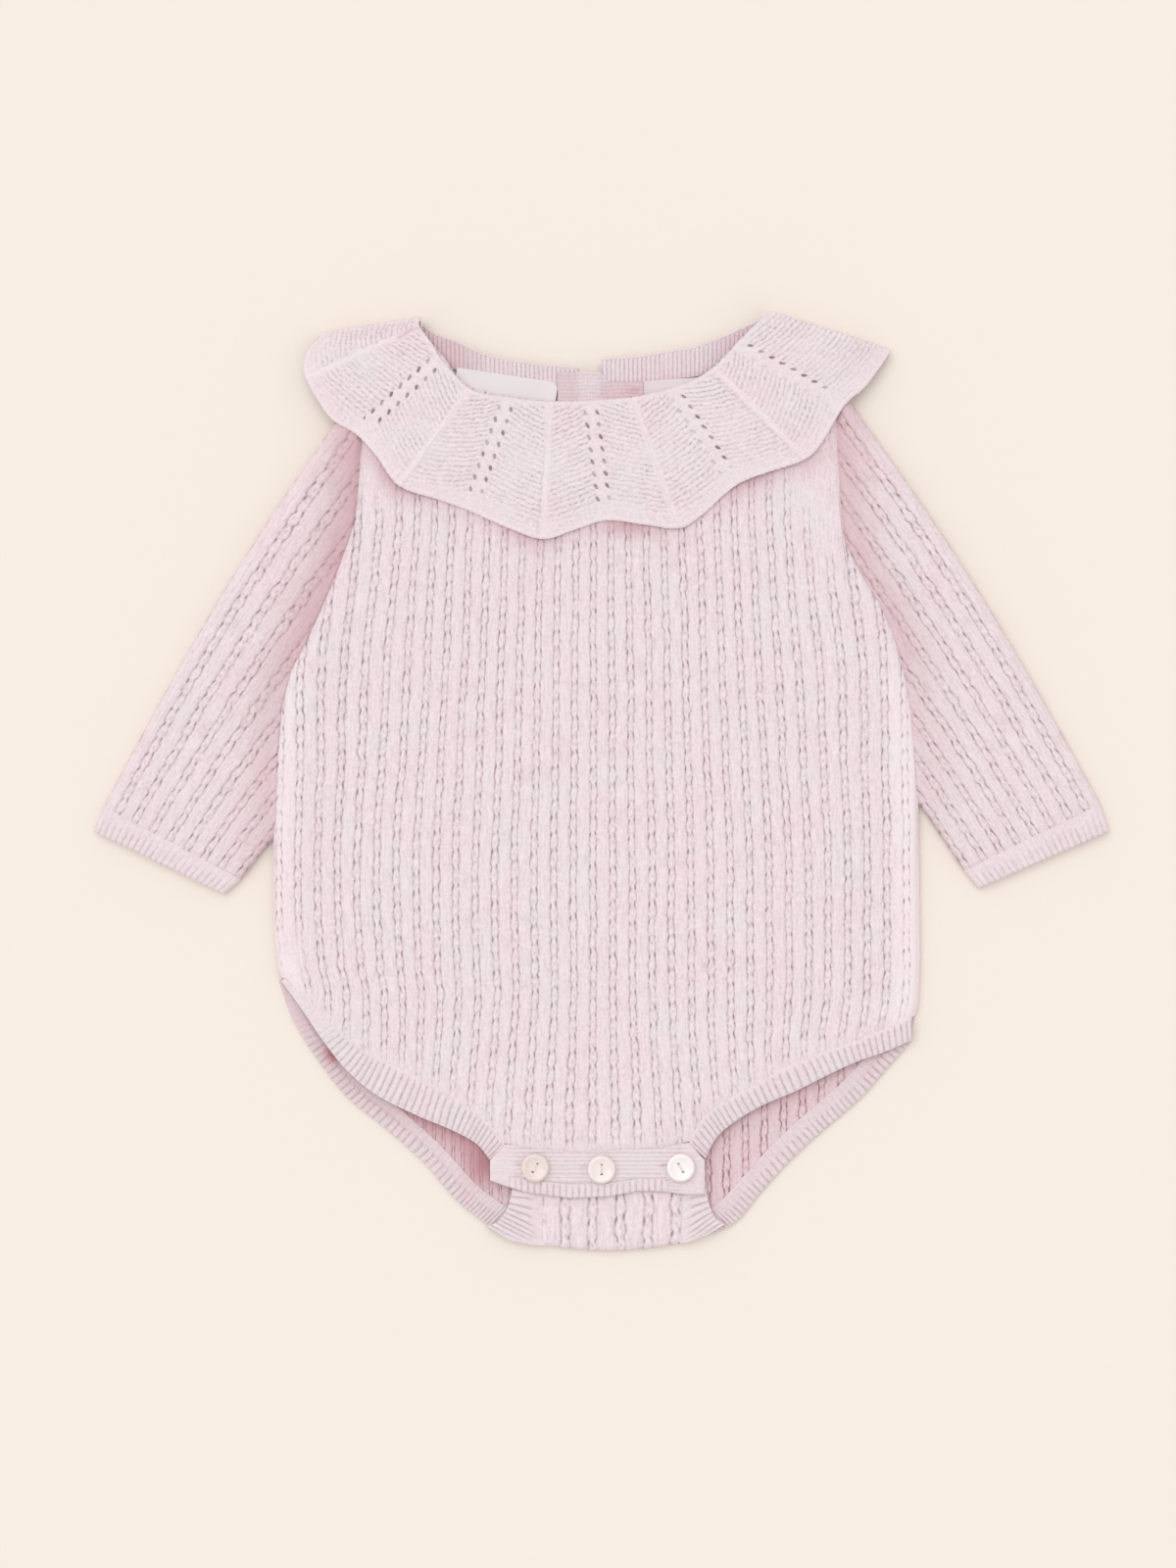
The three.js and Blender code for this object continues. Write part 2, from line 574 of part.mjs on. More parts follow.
// A cuff is a short ribbed tube below the sleeve
function cuff(side) {
  const s = sleeves[side];
  const mark = (point) => new THREE.Vector2(point.x, point.y);
  const ends = { outer: mark(s.cuffOuter), inner: mark(s.cuffInner) };
  const seam = { outer: mark(s.seamOuter), inner: mark(s.seamInner) };
  const depth = ends.outer.distanceTo(seam.outer);
  const seamShare = 1 - gap / depth;
  const width = ends.outer.distanceTo(ends.inner);
  const ribs = Math.round(width / fineRib.pitch);
  const spot = (c, place) => {
    const atSeam = seam.outer.clone().lerp(seam.inner, c);
    return ends.outer.clone().lerp(ends.inner, c).lerp(atSeam, place);
  };
  const point = (c, place, top, inset, rise) => {
    const at = spot(c, place * seamShare);
    const half = height.cuff / 2 - inset;
    const round = quarterRound((Math.min(c, 1 - c) * width - inset) / edgeRound.tube);
    return new THREE.Vector3(at.x, at.y, height.cuff / 2 + top * half * round + rise * round);
  };
  const outer = [];
  for (let i = 0; i <= ribs * 2; i++)
    outer.push(bandRows.map((place) => {
      const fade = place === 0 || place === 1 ? 0.5 : 1;
      return point(i / ribs / 2, place, 1, 0, wave(i) * fineRib.rise * fade);
    }));
  for (const c of [0.97, 0.9, 0.5, 0.1, 0.03, 0]) {
    outer.push(bandRows.map((place) => point(c, place, -1, 0, 0)));
  }
  const edge = wall.body / width;
  const shares = [0, 0.04, 0.25, 0.5, 0.75, 0.96, 1];
  const around = [
    ...shares.map((share) => ({ share, top: 1 })),
    ...shares.slice(0, -1).reverse().map((share) => ({ share, top: -1 })),
  ];
  const inner = around.map(({ share, top }) =>
    [0, 1].map((place) => point(lerp(edge, 1 - edge, share), place, top, wall.body, 0)),
  );
  return clothWall(outer, inner, true);
}

function freeEdgeLength(rows) {
  const spots = steps(60).map((place) => along(rows, place));
  let length = 0;
  for (let i = 1; i < spots.length; i++) {
    length += Math.hypot(spots[i].freeX - spots[i - 1].freeX, spots[i].freeY - spots[i - 1].freeY);
  }
  return length;
}

// A ribbed band between a free edge and a seam; the ribs run from one to the other
function ribBand(rows, shape) {
  const ribs = Math.round(freeEdgeLength(rows) / fineRib.pitch);
  const point = (place, across, rise, thickness) => {
    const at = along(rows, place);
    const share = across * (1 - gap / bandWidth);
    const x = lerp(at.freeX, at.seamX, share);
    const y = lerp(at.freeY, at.seamY, share);
    const seamLevel = shape.seamLevel(at.seamX, at.seamY);
    const z = lerp(shape.freeLevel(place), seamLevel, across);
    return new THREE.Vector3(x, y, z + rise - thickness);
  };
  const outer = steps(ribs * 2).map((place, i) =>
    shape.across.map(({ share, rise, lower }) => point(place, share, wave(i) * rise * fineRib.rise, lower)),
  );
  const inner = steps(Math.round(ribs / 2)).map((place) =>
    [0, 1].map((across) => point(place, across, 0, wall.band)),
  );
  return clothWall(outer, inner);
}

const frontBandShape = (raised) => ({
  freeLevel: (place) => height.body - bandDrop + raised * Math.sin(Math.PI * place),
  seamLevel: (x, y) => frontHeight(clamp(x, -108, 108), y),
  across: [
    { share: 0, rise: 0.6, lower: 0.45 },
    { share: 0.12, rise: 1, lower: 0 },
    { share: 0.85, rise: 1, lower: 0 },
    { share: 1, rise: 0.3, lower: 0.1 },
  ],
});
// The band's inside shows at the back: a ribbed outer half and a plain inner one
const backBandShape = {
  freeLevel: () => wall.band,
  seamLevel: () => wall.band,
  across: [
    { share: 0, rise: 0.7, lower: 0.3 },
    { share: 0.5, rise: 1, lower: 0 },
    { share: 0.58, rise: 0, lower: 0.3 },
    { share: 1, rise: 0, lower: 0 },
  ],
};
const flapBandShape = {
  freeLevel: () => fold.height + flapBandRise,
  seamLevel: () => fold.height + flapBandRise,
  across: [
    { share: 0, rise: 0.6, lower: 0.4 },
    { share: 0.14, rise: 1, lower: 0 },
    { share: 0.86, rise: 1, lower: 0 },
    { share: 1, rise: 0.4, lower: 0 },
  ],
};

// The crotch flap: the back panel's end, turned up over itself to the front
function crotchFlap() {
  const foldY = (x) => fold.y + fold.curve * (x - fold.x) ** 2;
  const outerPath = [
    { in: 0, z: fold.height, rise: 0 },
    { in: 0.6, z: fold.height, rise: 1 },
    { out: 4.2, z: fold.height, rise: 1 },
    { out: 1.6, z: fold.height * 0.86, rise: 1 },
    { out: 0, z: fold.height * 0.5, rise: 0, swell: 0.3 },
    { out: 1.3, z: 0.3, rise: 0 },
    { out: 3.0, z: 0, rise: 0 },
    { flat: 1, z: 0, rise: 0 },
  ];
  const innerPath = [
    { in: 0, z: fold.height - wall.body },
    { in: 0.6, z: fold.height - wall.body },
    { out: 3.4, z: fold.height - wall.body },
    { out: 2.2, z: fold.height * 0.5 },
    { out: 3.4, z: wall.body },
    { flat: 1, z: wall.body },
  ];
  const place = (x, step) => {
    if (step.flat) return fold.seam - gap;
    if (step.in !== undefined) return lerp(flapSides.top, foldY(x) + flapSides.turn, step.in);
    return foldY(x) + step.out;
  };
  const across = (at) => lerp(flapSides.left, flapSides.right, at / flapSides.columns);
  const outer = ribColumns(0, flapSides.columns).map(({ at, rise }) => {
    const x = across(at);
    return outerPath.map((step) => {
      const raised = rise * bodyRib.rise;
      return new THREE.Vector3(x, place(x, step) - raised * (step.swell ?? 0), step.z + raised * step.rise);
    });
  });
  const inner = steps(flapSides.columns * 2).map((share) => {
    const x = across(share * flapSides.columns);
    return innerPath.map((step) => new THREE.Vector3(x, place(x, step), step.z));
  });
  return clothWall(outer, inner);
}

// The buttoned placket at the front of the crotch
function placket() {
  const lowest = fold.height + flapBandRise + fineRib.rise + gap;
  const left = placketEdges[0].x;
  const right = placketEdges[placketEdges.length - 1].x;
  const teeth = Math.round((right - left) / fineRib.pitch);
  const shares = [
    { share: 0, lower: 0.5, rise: 0.5 },
    { share: 0.06, lower: 0, rise: 1 },
    { share: 0.26, lower: 0, rise: 1 },
    { share: 0.34, lower: 0.3, rise: 0 },
    { share: 1, lower: 0.2, rise: 0 },
  ];
  const point = (x, share, z) => {
    const top = read(placketEdges, "x", "top", x);
    const bottom = read(placketEdges, "x", "bottom", x);
    return new THREE.Vector3(x, lerp(bottom, top, share), z);
  };
  const outer = steps(teeth * 2).map((part, i) =>
    shares.map(({ share, lower, rise }) =>
      point(lerp(left, right, part), share, lowest + wall.band - lower + wave(i) * rise * fineRib.rise),
    ),
  );
  const inner = steps(16).map((part) =>
    [0, 1].map((share) => point(lerp(left, right, part), share, lowest)),
  );
  return clothWall(outer, inner);
}

// Half of the back neckband, its ribbed inside up
function neckband(rows) {
  const [left, right] = [rows[0].x, rows[rows.length - 1].x];
  const ribs = Math.round((right - left) / neckRib.pitch);
  const level = (y) => lifted(y) + neckRib.clear;
  const point = (x, share, rise, z) => {
    const y = read(rows, "x", "y", x) - neckbandWidth * (1 - share);
    return new THREE.Vector3(x, y, level(y) + z + rise);
  };
  const acrossBand = [
    { share: 0, z: wall.band - 0.3 },
    { share: 0.12, z: wall.band },
    { share: 0.88, z: wall.band },
    { share: 1, z: wall.band - 0.5 },
  ];
  const outer = steps(ribs * 2).map((part, i) =>
    acrossBand.map(({ share, z }) => point(lerp(left, right, part), share, wave(i) * neckRib.rise, z)),
  );
  const inner = steps(10).map((part) => [0, 1].map((share) => point(lerp(left, right, part), share, 0, 0)));
  return clothWall(outer, inner);
}

// The ruffle's middle surface; place runs round the collar and reach from the neck to the free edge
function ruffleSpot(place, reach) {
  const at = along(ruffleLines, place);
  const x = lerp(at.neckX, at.outX, reach);
  const y = lerp(at.neckY, at.outY, reach);
  const droop = at.hangs * smoothstep(reach, ruffleDroop.starts, 1);
  const waved = height.ruffleWave * at.lift * reach ** ruffleDroop.curl;
  const z = height.ruffleRoot + wall.ruffle / 2 + waved - droop;
  return new THREE.Vector3(x, y, z);
}

// At a shoulder the ruffle turns down over its last line and under itself
function ruffleFold(end, down, reach) {
  const at = ruffleSpot(end, reach);
  const shift = ruffleTurn.out * Math.sin(down * Math.PI) - ruffleTurn.back * down;
  const way = end === 0 ? ruffleTurn.left : ruffleTurn.right;
  const z = lerp(at.z, wall.ruffle, (1 - Math.cos(down * Math.PI)) / 2);
  return new THREE.Vector3(at.x + way.x * shift, at.y + way.y * shift, z);
}

function frontRuffle() {
  const turns = [1, 0.75, 0.5, 0.25];
  const around = steps((ruffleLines.length - 1) * 2);
  const columns = [
    ...turns.map((down) => (reach) => ruffleFold(0, down, reach)),
    ...around.map((place) => (reach) => ruffleSpot(place, reach)),
    ...[...turns].reverse().map((down) => (reach) => ruffleFold(1, down, reach)),
  ];
  const layer = (reaches, away) => {
    const middle = columns.map((spot) => reaches.map(spot));
    return middle.map((column, i) =>
      column.map((spot, j) => {
        const before = middle[Math.max(i - 1, 0)][j];
        const after = middle[Math.min(i + 1, middle.length - 1)][j];
        const inner = column[Math.max(j - 1, 0)];
        const outer = column[Math.min(j + 1, column.length - 1)];
        const normal = outer.clone().sub(inner).cross(after.clone().sub(before)).normalize();
        return spot.clone().addScaledVector(normal, away);
      }),
    );
  };
  return clothWall(layer(ruffleRows, wall.ruffle / 2), layer(ruffleRows, -wall.ruffle / 2));
}

// Half of the ruffle's back, flat under the yoke
function backRuffle(rows) {
  const layer = (z) =>
    steps((rows.length - 1) * 2).map((place) => {
      const at = along(rows, place);
      return steps(3).map(
        (reach) => new THREE.Vector3(lerp(at.neckX, at.outX, reach), lerp(at.neckY, at.outY, reach), z),
      );
    });
  return clothWall(layer(wall.ruffle), layer(0));
}

function asManifold(geometry) {
  const plain = geometry.index ? geometry.toNonIndexed() : geometry.clone();
  plain.deleteAttribute("normal");
  plain.deleteAttribute("uv");
  const merged = mergeVertices(plain, 1e-4);
  return new wasm.Manifold(
    new wasm.Mesh({
      numProp: 3,
      vertProperties: merged.attributes.position.array,
      triVerts: new Uint32Array(merged.index.array),
    }),
  );
}

function asGeometry(manifold) {
  const { numProp, vertProperties, triVerts } = manifold.getMesh();
  const count = vertProperties.length / numProp;
  const spots = new Float32Array(count * 3);
  for (let i = 0; i < count; i++) spots.set(vertProperties.subarray(i * numProp, i * numProp + 3), i * 3);
  return new THREE.BufferGeometry()
    .setAttribute("position", new THREE.BufferAttribute(spots, 3))
    .setIndex(new THREE.BufferAttribute(triVerts, 1));
}

// A dished shell button with two holes
function button(turn) {
  const { radius, height: tall, holeRadius, holeApart } = buttons;
  const profile = [
    [0, 0],
    [radius * 0.8, 0],
    [radius, tall * 0.45],
    [radius * 0.93, tall * 0.9],
    [radius * 0.78, tall],
    [radius * 0.6, tall * 0.66],
    [0, tall * 0.6],
  ].map(([x, y]) => new THREE.Vector2(x, y));
  const disc = new THREE.LatheGeometry(profile, 20).rotateX(Math.PI / 2);
  let cut = asManifold(disc);
  for (const side of [-1, 1]) {
    const reach = (side * holeApart) / 2;
    const angle = THREE.MathUtils.degToRad(turn);
    const drill = new THREE.CylinderGeometry(holeRadius, holeRadius, tall * 3, 8).rotateX(Math.PI / 2);
    drill.translate(reach * Math.cos(angle), reach * Math.sin(angle), 0);
    cut = cut.subtract(asManifold(drill));
  }
  return asGeometry(cut);
}

// A strip or label cut from flat cloth
function flatPiece(points, thickness) {
  const shape = new THREE.Shape(points.map(([x, y]) => new THREE.Vector2(x, y)));
  return new THREE.ExtrudeGeometry(shape, { depth: thickness, bevelEnabled: false });
}

function label({ width, length }) {
  const [w, l] = [width / 2, length / 2];
  const cut = labelCorner;
  return flatPiece([[-w, -l], [w - cut, -l], [w, cut - l], [w, l - cut], [w - cut, l], [-w, l]], wall.label);
}

// The button stand of the back opening, seen between the halves of the neckband
function backPlacket() {
  const { left, right, step, bottom, top, rightTop } = buttonStand;
  const lower = [[left, bottom], [right, bottom], [right, rightTop]];
  return flatPiece([...lower, [step, rightTop], [step, top], [left, top]], wall.strip);
}

const yarn = new THREE.MeshStandardMaterial({ color: 0xe9d6da, roughness: 0.95, metalness: 0 });
const ruffleYarn = new THREE.MeshStandardMaterial({ color: 0xecdadb, roughness: 0.95, metalness: 0 });
const shell = new THREE.MeshStandardMaterial({ color: 0xf0e4de, roughness: 0.35, metalness: 0 });
const satin = new THREE.MeshStandardMaterial({ color: 0xf2f0ee, roughness: 0.5, metalness: 0 });

const romper = new THREE.Group();
function add(name, geometry, material, place = [0, 0, 0], turn = 0) {
  const mesh = new THREE.Mesh(geometry, material);
  mesh.name = name;
  mesh.position.set(...place);
  mesh.rotation.z = THREE.MathUtils.degToRad(turn);
  romper.add(mesh);
}

add("front_panel", frontPanel(), yarn);
add("back_panel", backPanel(), yarn);
for (const side of ["left", "right"]) {
  add("sleeve_" + side, sleeve(side), yarn);
  add("cuff_" + side, cuff(side), yarn);
}
add("front_leg_band_left", ribBand(frontBandLeft, frontBandShape(0.9)), yarn);
add("front_leg_band_right", ribBand(frontBandRight, frontBandShape(0.7)), yarn);
add("back_leg_band_left", ribBand(backBandLeft, backBandShape), yarn);
add("back_leg_band_right", ribBand(backBandRight, backBandShape), yarn);
add("flap_band_left", ribBand(flapBandLeft, flapBandShape), yarn);
add("flap_band_right", ribBand(flapBandRight, flapBandShape), yarn);
add("crotch_flap", crotchFlap(), yarn);
add("placket", placket(), yarn);
add("neckband_left", neckband(neckbandLeft), yarn);
add("neckband_right", neckband(neckbandRight), yarn);
add("ruffle_front", frontRuffle(), ruffleYarn);
add("ruffle_back_left", backRuffle(backRuffleLines.slice(0, backRuffleSplit + 1)), ruffleYarn);
add("ruffle_back_right", backRuffle(backRuffleLines.slice(backRuffleSplit + 1)), ruffleYarn);
const insideLevel = underlay.rise + wall.body + gap;
add("back_placket", backPlacket(), yarn, [0, 0, insideLevel]);
add("label_left", label(labelLeft), satin, [labelLeft.x, labelLeft.y, insideLevel], labelLeft.turn);
add("label_right", label(labelRight), satin, [labelRight.x, labelRight.y, insideLevel], labelRight.turn);
buttonPlaces.forEach(({ x, y, turn }, i) => {
  add("button_" + (i + 1), button(turn), shell, [x, y, buttons.above]);
});

export default romper;
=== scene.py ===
import math

import bmesh
import bpy
import numpy as np
from mathutils import Matrix, Vector


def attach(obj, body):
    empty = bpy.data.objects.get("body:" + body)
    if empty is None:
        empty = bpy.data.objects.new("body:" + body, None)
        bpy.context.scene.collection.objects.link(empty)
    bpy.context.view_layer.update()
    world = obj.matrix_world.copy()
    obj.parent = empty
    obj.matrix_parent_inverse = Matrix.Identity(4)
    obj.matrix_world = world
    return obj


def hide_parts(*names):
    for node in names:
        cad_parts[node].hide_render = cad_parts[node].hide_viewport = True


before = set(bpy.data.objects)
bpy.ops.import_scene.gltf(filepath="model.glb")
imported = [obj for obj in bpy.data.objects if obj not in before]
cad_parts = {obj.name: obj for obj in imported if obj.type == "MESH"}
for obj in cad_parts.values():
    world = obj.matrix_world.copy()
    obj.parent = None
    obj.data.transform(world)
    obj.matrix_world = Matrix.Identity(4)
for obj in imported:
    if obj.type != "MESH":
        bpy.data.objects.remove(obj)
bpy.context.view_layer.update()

# A knitted baby romper laid flat. The tables are in millimetres, as in the solids.
tau = 2 * math.pi
mm = 0.001
gap = 0.3
seamLap = 0.25  # the yarn of two pieces meets at a seam
seamDip = dict(depth=0.3, width=1.2)


def table(names, *rows):
    return {name: np.array([row[i] for row in rows], float) for i, name in enumerate(names.split())}


def moved(rows, **shifts):
    return {name: values + shifts.get(name, 0) for name, values in rows.items()}


def joined(*tables):
    return {name: np.concatenate([rows[name] for rows in tables]) for name in tables[0]}


def turned(rows):
    return {name: values[::-1] for name, values in rows.items()}


leftSide = table("y x", (-75, -113.2), (-66, -115.7), (-50, -117.2), (-28, -117.5), (-6, -117.2),
                 (11, -116.4), (29, -114.7), (42, -111.1), (53, -105.4), (69, -98.3), (83, -92.3),
                 (96, -87.7), (108, -86.6), (150, -84))
rightSide = table("y x", (-92, 114), (-87, 114.9), (-79, 116.6), (-64, 117.2), (-10, 116.8), (6, 116.4),
                  (21, 114.9), (33, 113.4), (44, 111.2), (56, 107.4), (67, 102.6), (77, 96.2), (89, 90),
                  (104, 88.4), (150, 86))
frontCrown = table("x y", (-84.6, 146), (-61, 161), (-55, 154), (-50.6, 147.5), (-45, 143), (-35, 140.6),
                   (-17, 138.4), (1, 138.8), (16, 140.2), (29, 143.4), (39, 148), (46.6, 155.5), (55, 163.5),
                   (59, 165), (86.4, 146))
neckbandLeft = table("x y", (-57.6, 162.6), (-51.6, 160.8), (-41.3, 155.9), (-31, 153.5), (-18.9, 151.8),
                     (-7.1, 150.8))
neckbandRight = table("x y", (2.0, 154.0), (14.6, 154.8), (27.5, 156.8), (36.1, 158.4), (44.7, 161.6),
                      (52.0, 164.8), (57.4, 167.4))
neckbandWidth = 6.9
backCrown = joined(
    table("x y", (-84.6, 146), (-60, 158.4)),
    moved(neckbandLeft, y=-neckbandWidth - gap),
    table("x y", (1.4, 143.2)),
    moved(neckbandRight, y=-neckbandWidth - gap),
    table("x y", (59.4, 161), (86.4, 146)))
bandNames = "freeX freeY seamX seamY"
frontBandLeft = table(
    bandNames, (-114.2, -71.6, -113.0, -70.2), (-106.9, -81.7, -103.6, -79.2), (-99.4, -92.6, -94.2, -88.6),
    (-90.6, -103.6, -84.4, -96.2), (-79.9, -112.5, -74.0, -101.2), (-66.0, -119.6, -61.6, -107.6),
    (-52.6, -125.3, -48.6, -114.9), (-43.8, -130.2, -39.4, -122.6), (-39.6, -135.2, -33.9, -129.6))
frontBandRight = table(
    bandNames, (114.0, -92.9, 114.0, -84.4), (104.5, -97.0, 103.6, -88.8), (94.8, -100.4, 92.6, -93.6),
    (84.4, -105.0, 80.4, -97.6), (72.0, -111.2, 67.8, -102.8), (60.4, -116.2, 56.6, -109.2),
    (50.6, -121.9, 46.0, -114.9), (43.6, -127.9, 38.4, -120.7), (39.9, -134.6, 33.8, -129.0))
backBandLeft = table(
    bandNames, (-115.3, -71.4, -105.5, -68.8), (-109.8, -86.6, -100.2, -82.4), (-101.0, -100.4, -92.6, -94.4),
    (-91.0, -113.2, -82.8, -106.2), (-76.8, -124.9, -69.5, -117.2), (-63.0, -137.2, -55.4, -130.0),
    (-51.8, -150.2, -44.0, -142.6), (-43.0, -157.6, -34.8, -150.0), (-34.2, -163.4, -27.0, -154.6),
    (-19.8, -167.4, -19.4, -157.4))
backBandRight = table(
    bandNames, (114.2, -93.4, 105.2, -88.4), (106.0, -102.4, 98.4, -95.6), (96.4, -113.2, 89.4, -105.6),
    (87.6, -121.0, 80.8, -113.3), (77.7, -129.4, 71.0, -121.8), (67.6, -139.2, 60.6, -131.8),
    (58.6, -149.2, 51.0, -142.4), (51.4, -158.0, 43.2, -150.6), (44.0, -162.4, 36.4, -154.6),
    (30.5, -166.6, 30.3, -156.4))
backBandNarrowed = 0.16
for rows in (backBandLeft, backBandRight):
    for axis in "XY":
        seam, free = rows["seam" + axis], rows["free" + axis]
        rows["seam" + axis] = seam * (1 - backBandNarrowed) + free * backBandNarrowed
flapBandLeft = table(
    bandNames, (-30.2, -136.0, -19.4, -136.0), (-30.6, -145.0, -19.4, -145.0), (-31.6, -151.5, -19.4, -154.0),
    (-33.5, -155.5, -19.2, -162.0), (-36.0, -158.6, -19.4, -167.0), (-40.2, -160.4, -31.5, -165.4))
flapBandRight = table(
    bandNames, (39.2, -136.0, 30.3, -136.0), (39.4, -144.0, 30.3, -144.6), (40.2, -150.2, 30.3, -152.5),
    (41.6, -154.6, 30.2, -160.5), (43.2, -157.4, 30.4, -166.2), (46.4, -159.6, 40.6, -163.2))
placketEdges = table(
    "x top bottom", (-38.6, -136.0, -143.4), (-33.0, -130.2, -145.4), (-26.0, -131.6, -147.6),
    (-10.0, -132.8, -149.8), (4.0, -132.6, -149.2), (15.0, -132.0, -147.2), (24.0, -131.4, -147.4),
    (33.2, -129.6, -148.6), (38.9, -136.0, -148.2))
ruffleLines = table(
    "neckX neckY outX outY lift hangs",
    (-63.9, 167.4, -100.4, 161.6, 0.0, 3.6), (-64.6, 166.6, -105.5, 155.0, 0.4, 2.9),
    (-63.9, 164.6, -105.2, 146.4, 0.7, 2.2), (-59.7, 158.8, -96.5, 132.5, 0.3, 1.2),
    (-56.6, 153.7, -87.0, 126.4, 0.0, 0.5), (-51.4, 147.6, -79.5, 118.2, 0.5, 0.2),
    (-45.8, 142.4, -71.4, 107.6, 1.0, 0.0), (-39.2, 140.4, -56.4, 102.4, 0.5, 0.0),
    (-31.6, 139.5, -46.1, 98.6, 0.0, 0.0), (-24.4, 138.4, -30.9, 91.9, 0.4, 0.0),
    (-17.0, 137.9, -19.2, 88.4, 0.8, 0.0), (-9.6, 137.8, -7.5, 91.9, 0.4, 0.0),
    (-2.5, 138.2, 3.5, 95.2, 0.0, 0.0), (5.4, 138.8, 16.7, 93.7, 0.5, 0.0),
    (12.8, 139.4, 29.5, 92.3, 1.0, 0.0), (20.2, 140.9, 37.6, 96.8, 0.5, 0.0),
    (27.0, 142.7, 50.3, 107.9, 0.1, 0.0), (34.8, 145.6, 61.8, 112.6, 0.5, 0.0),
    (42.2, 150.3, 75.6, 117.4, 0.8, 0.2), (46.6, 154.4, 82.0, 124.3, 0.4, 0.4),
    (50.3, 158.8, 89.6, 136.9, 0.0, 0.7), (56.0, 164.4, 97.7, 144.3, 0.1, 2.0),
    (61.9, 169.6, 106.0, 156.0, 0.0, 3.6))
ridgeRows = (2, 6, 10, 14, 18)
eyeletRows = (4, 8, 12, 16, 20)
backRuffleLines = table(
    "neckX neckY outX outY", (-60.6, 162.2, -98.8, 156.0), (-52.0, 158.4, -89.0, 130.4),
    (-41.5, 153.8, -66.0, 111.6), (-24.0, 150.4, -33.0, 104.0), (-4.0, 148.9, -4.4, 103.2),
    (0.4, 152.0, 0.8, 103.0), (24.0, 154.4, 33.0, 104.0), (43.5, 159.0, 66.0, 115.0),
    (52.6, 162.8, 84.0, 133.0), (58.8, 166.0, 98.0, 152.0))
backRuffleSplit = 5
sleeveMarks = {
    "left": dict(cuffOuter=(-182.6, -17), cuffInner=(-135, -40), seamOuter=(-178.8, -8),
                 seamInner=(-129, -34.6), shoulder=(-84.4, 145.6), underarm=(-117.6, -20)),
    "right": dict(cuffOuter=(186, -17), cuffInner=(138.2, -37.8), seamOuter=(182.6, -7),
                  seamInner=(133, -31.4), shoulder=(86.2, 145.6), underarm=(117.4, -8)),
}
# Soft hollows and ridges of the front, each between two points; a negative depth is a ridge
hollows = table(
    "fromX fromY toX toY width depth", (62, 100, 82, 14, 13, 0.9), (-52, 92, -34, 20, 12, 0.7),
    (102, 5, 103, -78, 7, 0.9), (-98, 30, -94, -60, 9, 0.6), (64, 118, 48, 96, 7, 0.5),
    (-12, 70, -6, 12, 10, 0.35), (24, 80, 34, 30, 9, 0.3), (-84, 40, -60, 14, 10, 0.4),
    (-104, -76, -70, -96, 8, 0.5), (60, -92, 96, -80, 8, 0.4), (-20, -112, -16, -80, 7, 0.3),
    (20, -114, 26, -84, 7, -0.3))
lift = dict(rise=1.7, starts=15, full=90)
level = dict(body=4.6, sleeveMiddle=5.0, sleeveEnd=3.6, cuff=3.9, ruffleRoot=7.4, ruffleWave=0.85,
             ruffleSettle=0.8, inside=3.5)
wall = dict(body=1.5, band=1.6, ruffle=1.2, strip=1.0, label=0.4)


# Numbers along the tables
def read(rows, key, value, at):
    return np.interp(at, rows[key], rows[value])


def along(rows, place):
    count = len(next(iter(rows.values())))
    spot = np.clip(place, 0, 1) * (count - 1)
    i = np.minimum(spot.astype(int), count - 2)
    t = spot - i
    found = {}
    for name, values in rows.items():
        before, a, b, after = (values[np.clip(i + k, 0, count - 1)] for k in (-1, 0, 1, 2))
        leave, arrive = (b - before) / 2, (after - a) / 2
        cubic = 2 * a - 2 * b + leave + arrive
        square = 3 * b - 3 * a - 2 * leave - arrive
        found[name] = ((cubic * t + square) * t + leave) * t + a
    return found


def smooth(value, start, end):
    t = np.clip((value - start) / (end - start), 0, 1)
    return t * t * (3 - 2 * t)


def mix(a, b, share):
    return a + (b - a) * share


def quarterRound(share):
    return np.sqrt(1 - (1 - np.clip(share, 0, 1)) ** 2)


def mound(x, y, centreX, centreY, across, tall):
    return np.exp(-((x - centreX) / across) ** 2 - ((y - centreY) / tall) ** 2)


def stack(*values):
    return np.stack(np.broadcast_arrays(*values), -1).astype(float)


def raised(y):
    return lift["rise"] * np.clip((y - lift["starts"]) / (lift["full"] - lift["starts"]), 0, 1)


def sideX(x, y):
    return np.where(x < 0, read(leftSide, "y", "x", y), read(rightSide, "y", "x", y))


def fromSide(x, y):
    return np.abs(sideX(x, y)) - np.abs(x)


# How far each point lies from a line drawn through a table's points
def fromLine(x, y, lineX, lineY):
    nearest = np.full(np.broadcast(x, y).shape, 1e9)
    for i in range(len(lineX) - 1):
        dx, dy = lineX[i + 1] - lineX[i], lineY[i + 1] - lineY[i]
        t = np.clip(((x - lineX[i]) * dx + (y - lineY[i]) * dy) / (dx * dx + dy * dy + 1e-9), 0, 1)
        nearest = np.minimum(nearest, np.hypot(x - lineX[i] - t * dx, y - lineY[i] - t * dy))
    return nearest


# The furthest from zero that a test still holds, found by halving
def furthest(holds, count, end):
    near, far = np.zeros(count), np.full(count, float(end))
    for _ in range(40):
        middle = (near + far) / 2
        ok = holds(middle)
        near, far = np.where(ok, middle, near), np.where(ok, far, middle)
    return near


# A gentle unevenness, the same each time
def uneven(x, y, seed, longest=90, shortest=24, waves=9):
    rng = np.random.default_rng(seed)
    total = 0
    for size in np.geomspace(longest, shortest, waves):
        angle, phase = rng.uniform(0, tau, 2)
        place = (x * math.cos(angle) + y * math.sin(angle)) / size
        total = total + np.sin(tau * place + phase) * (size / longest)
    return total / math.sqrt(waves)


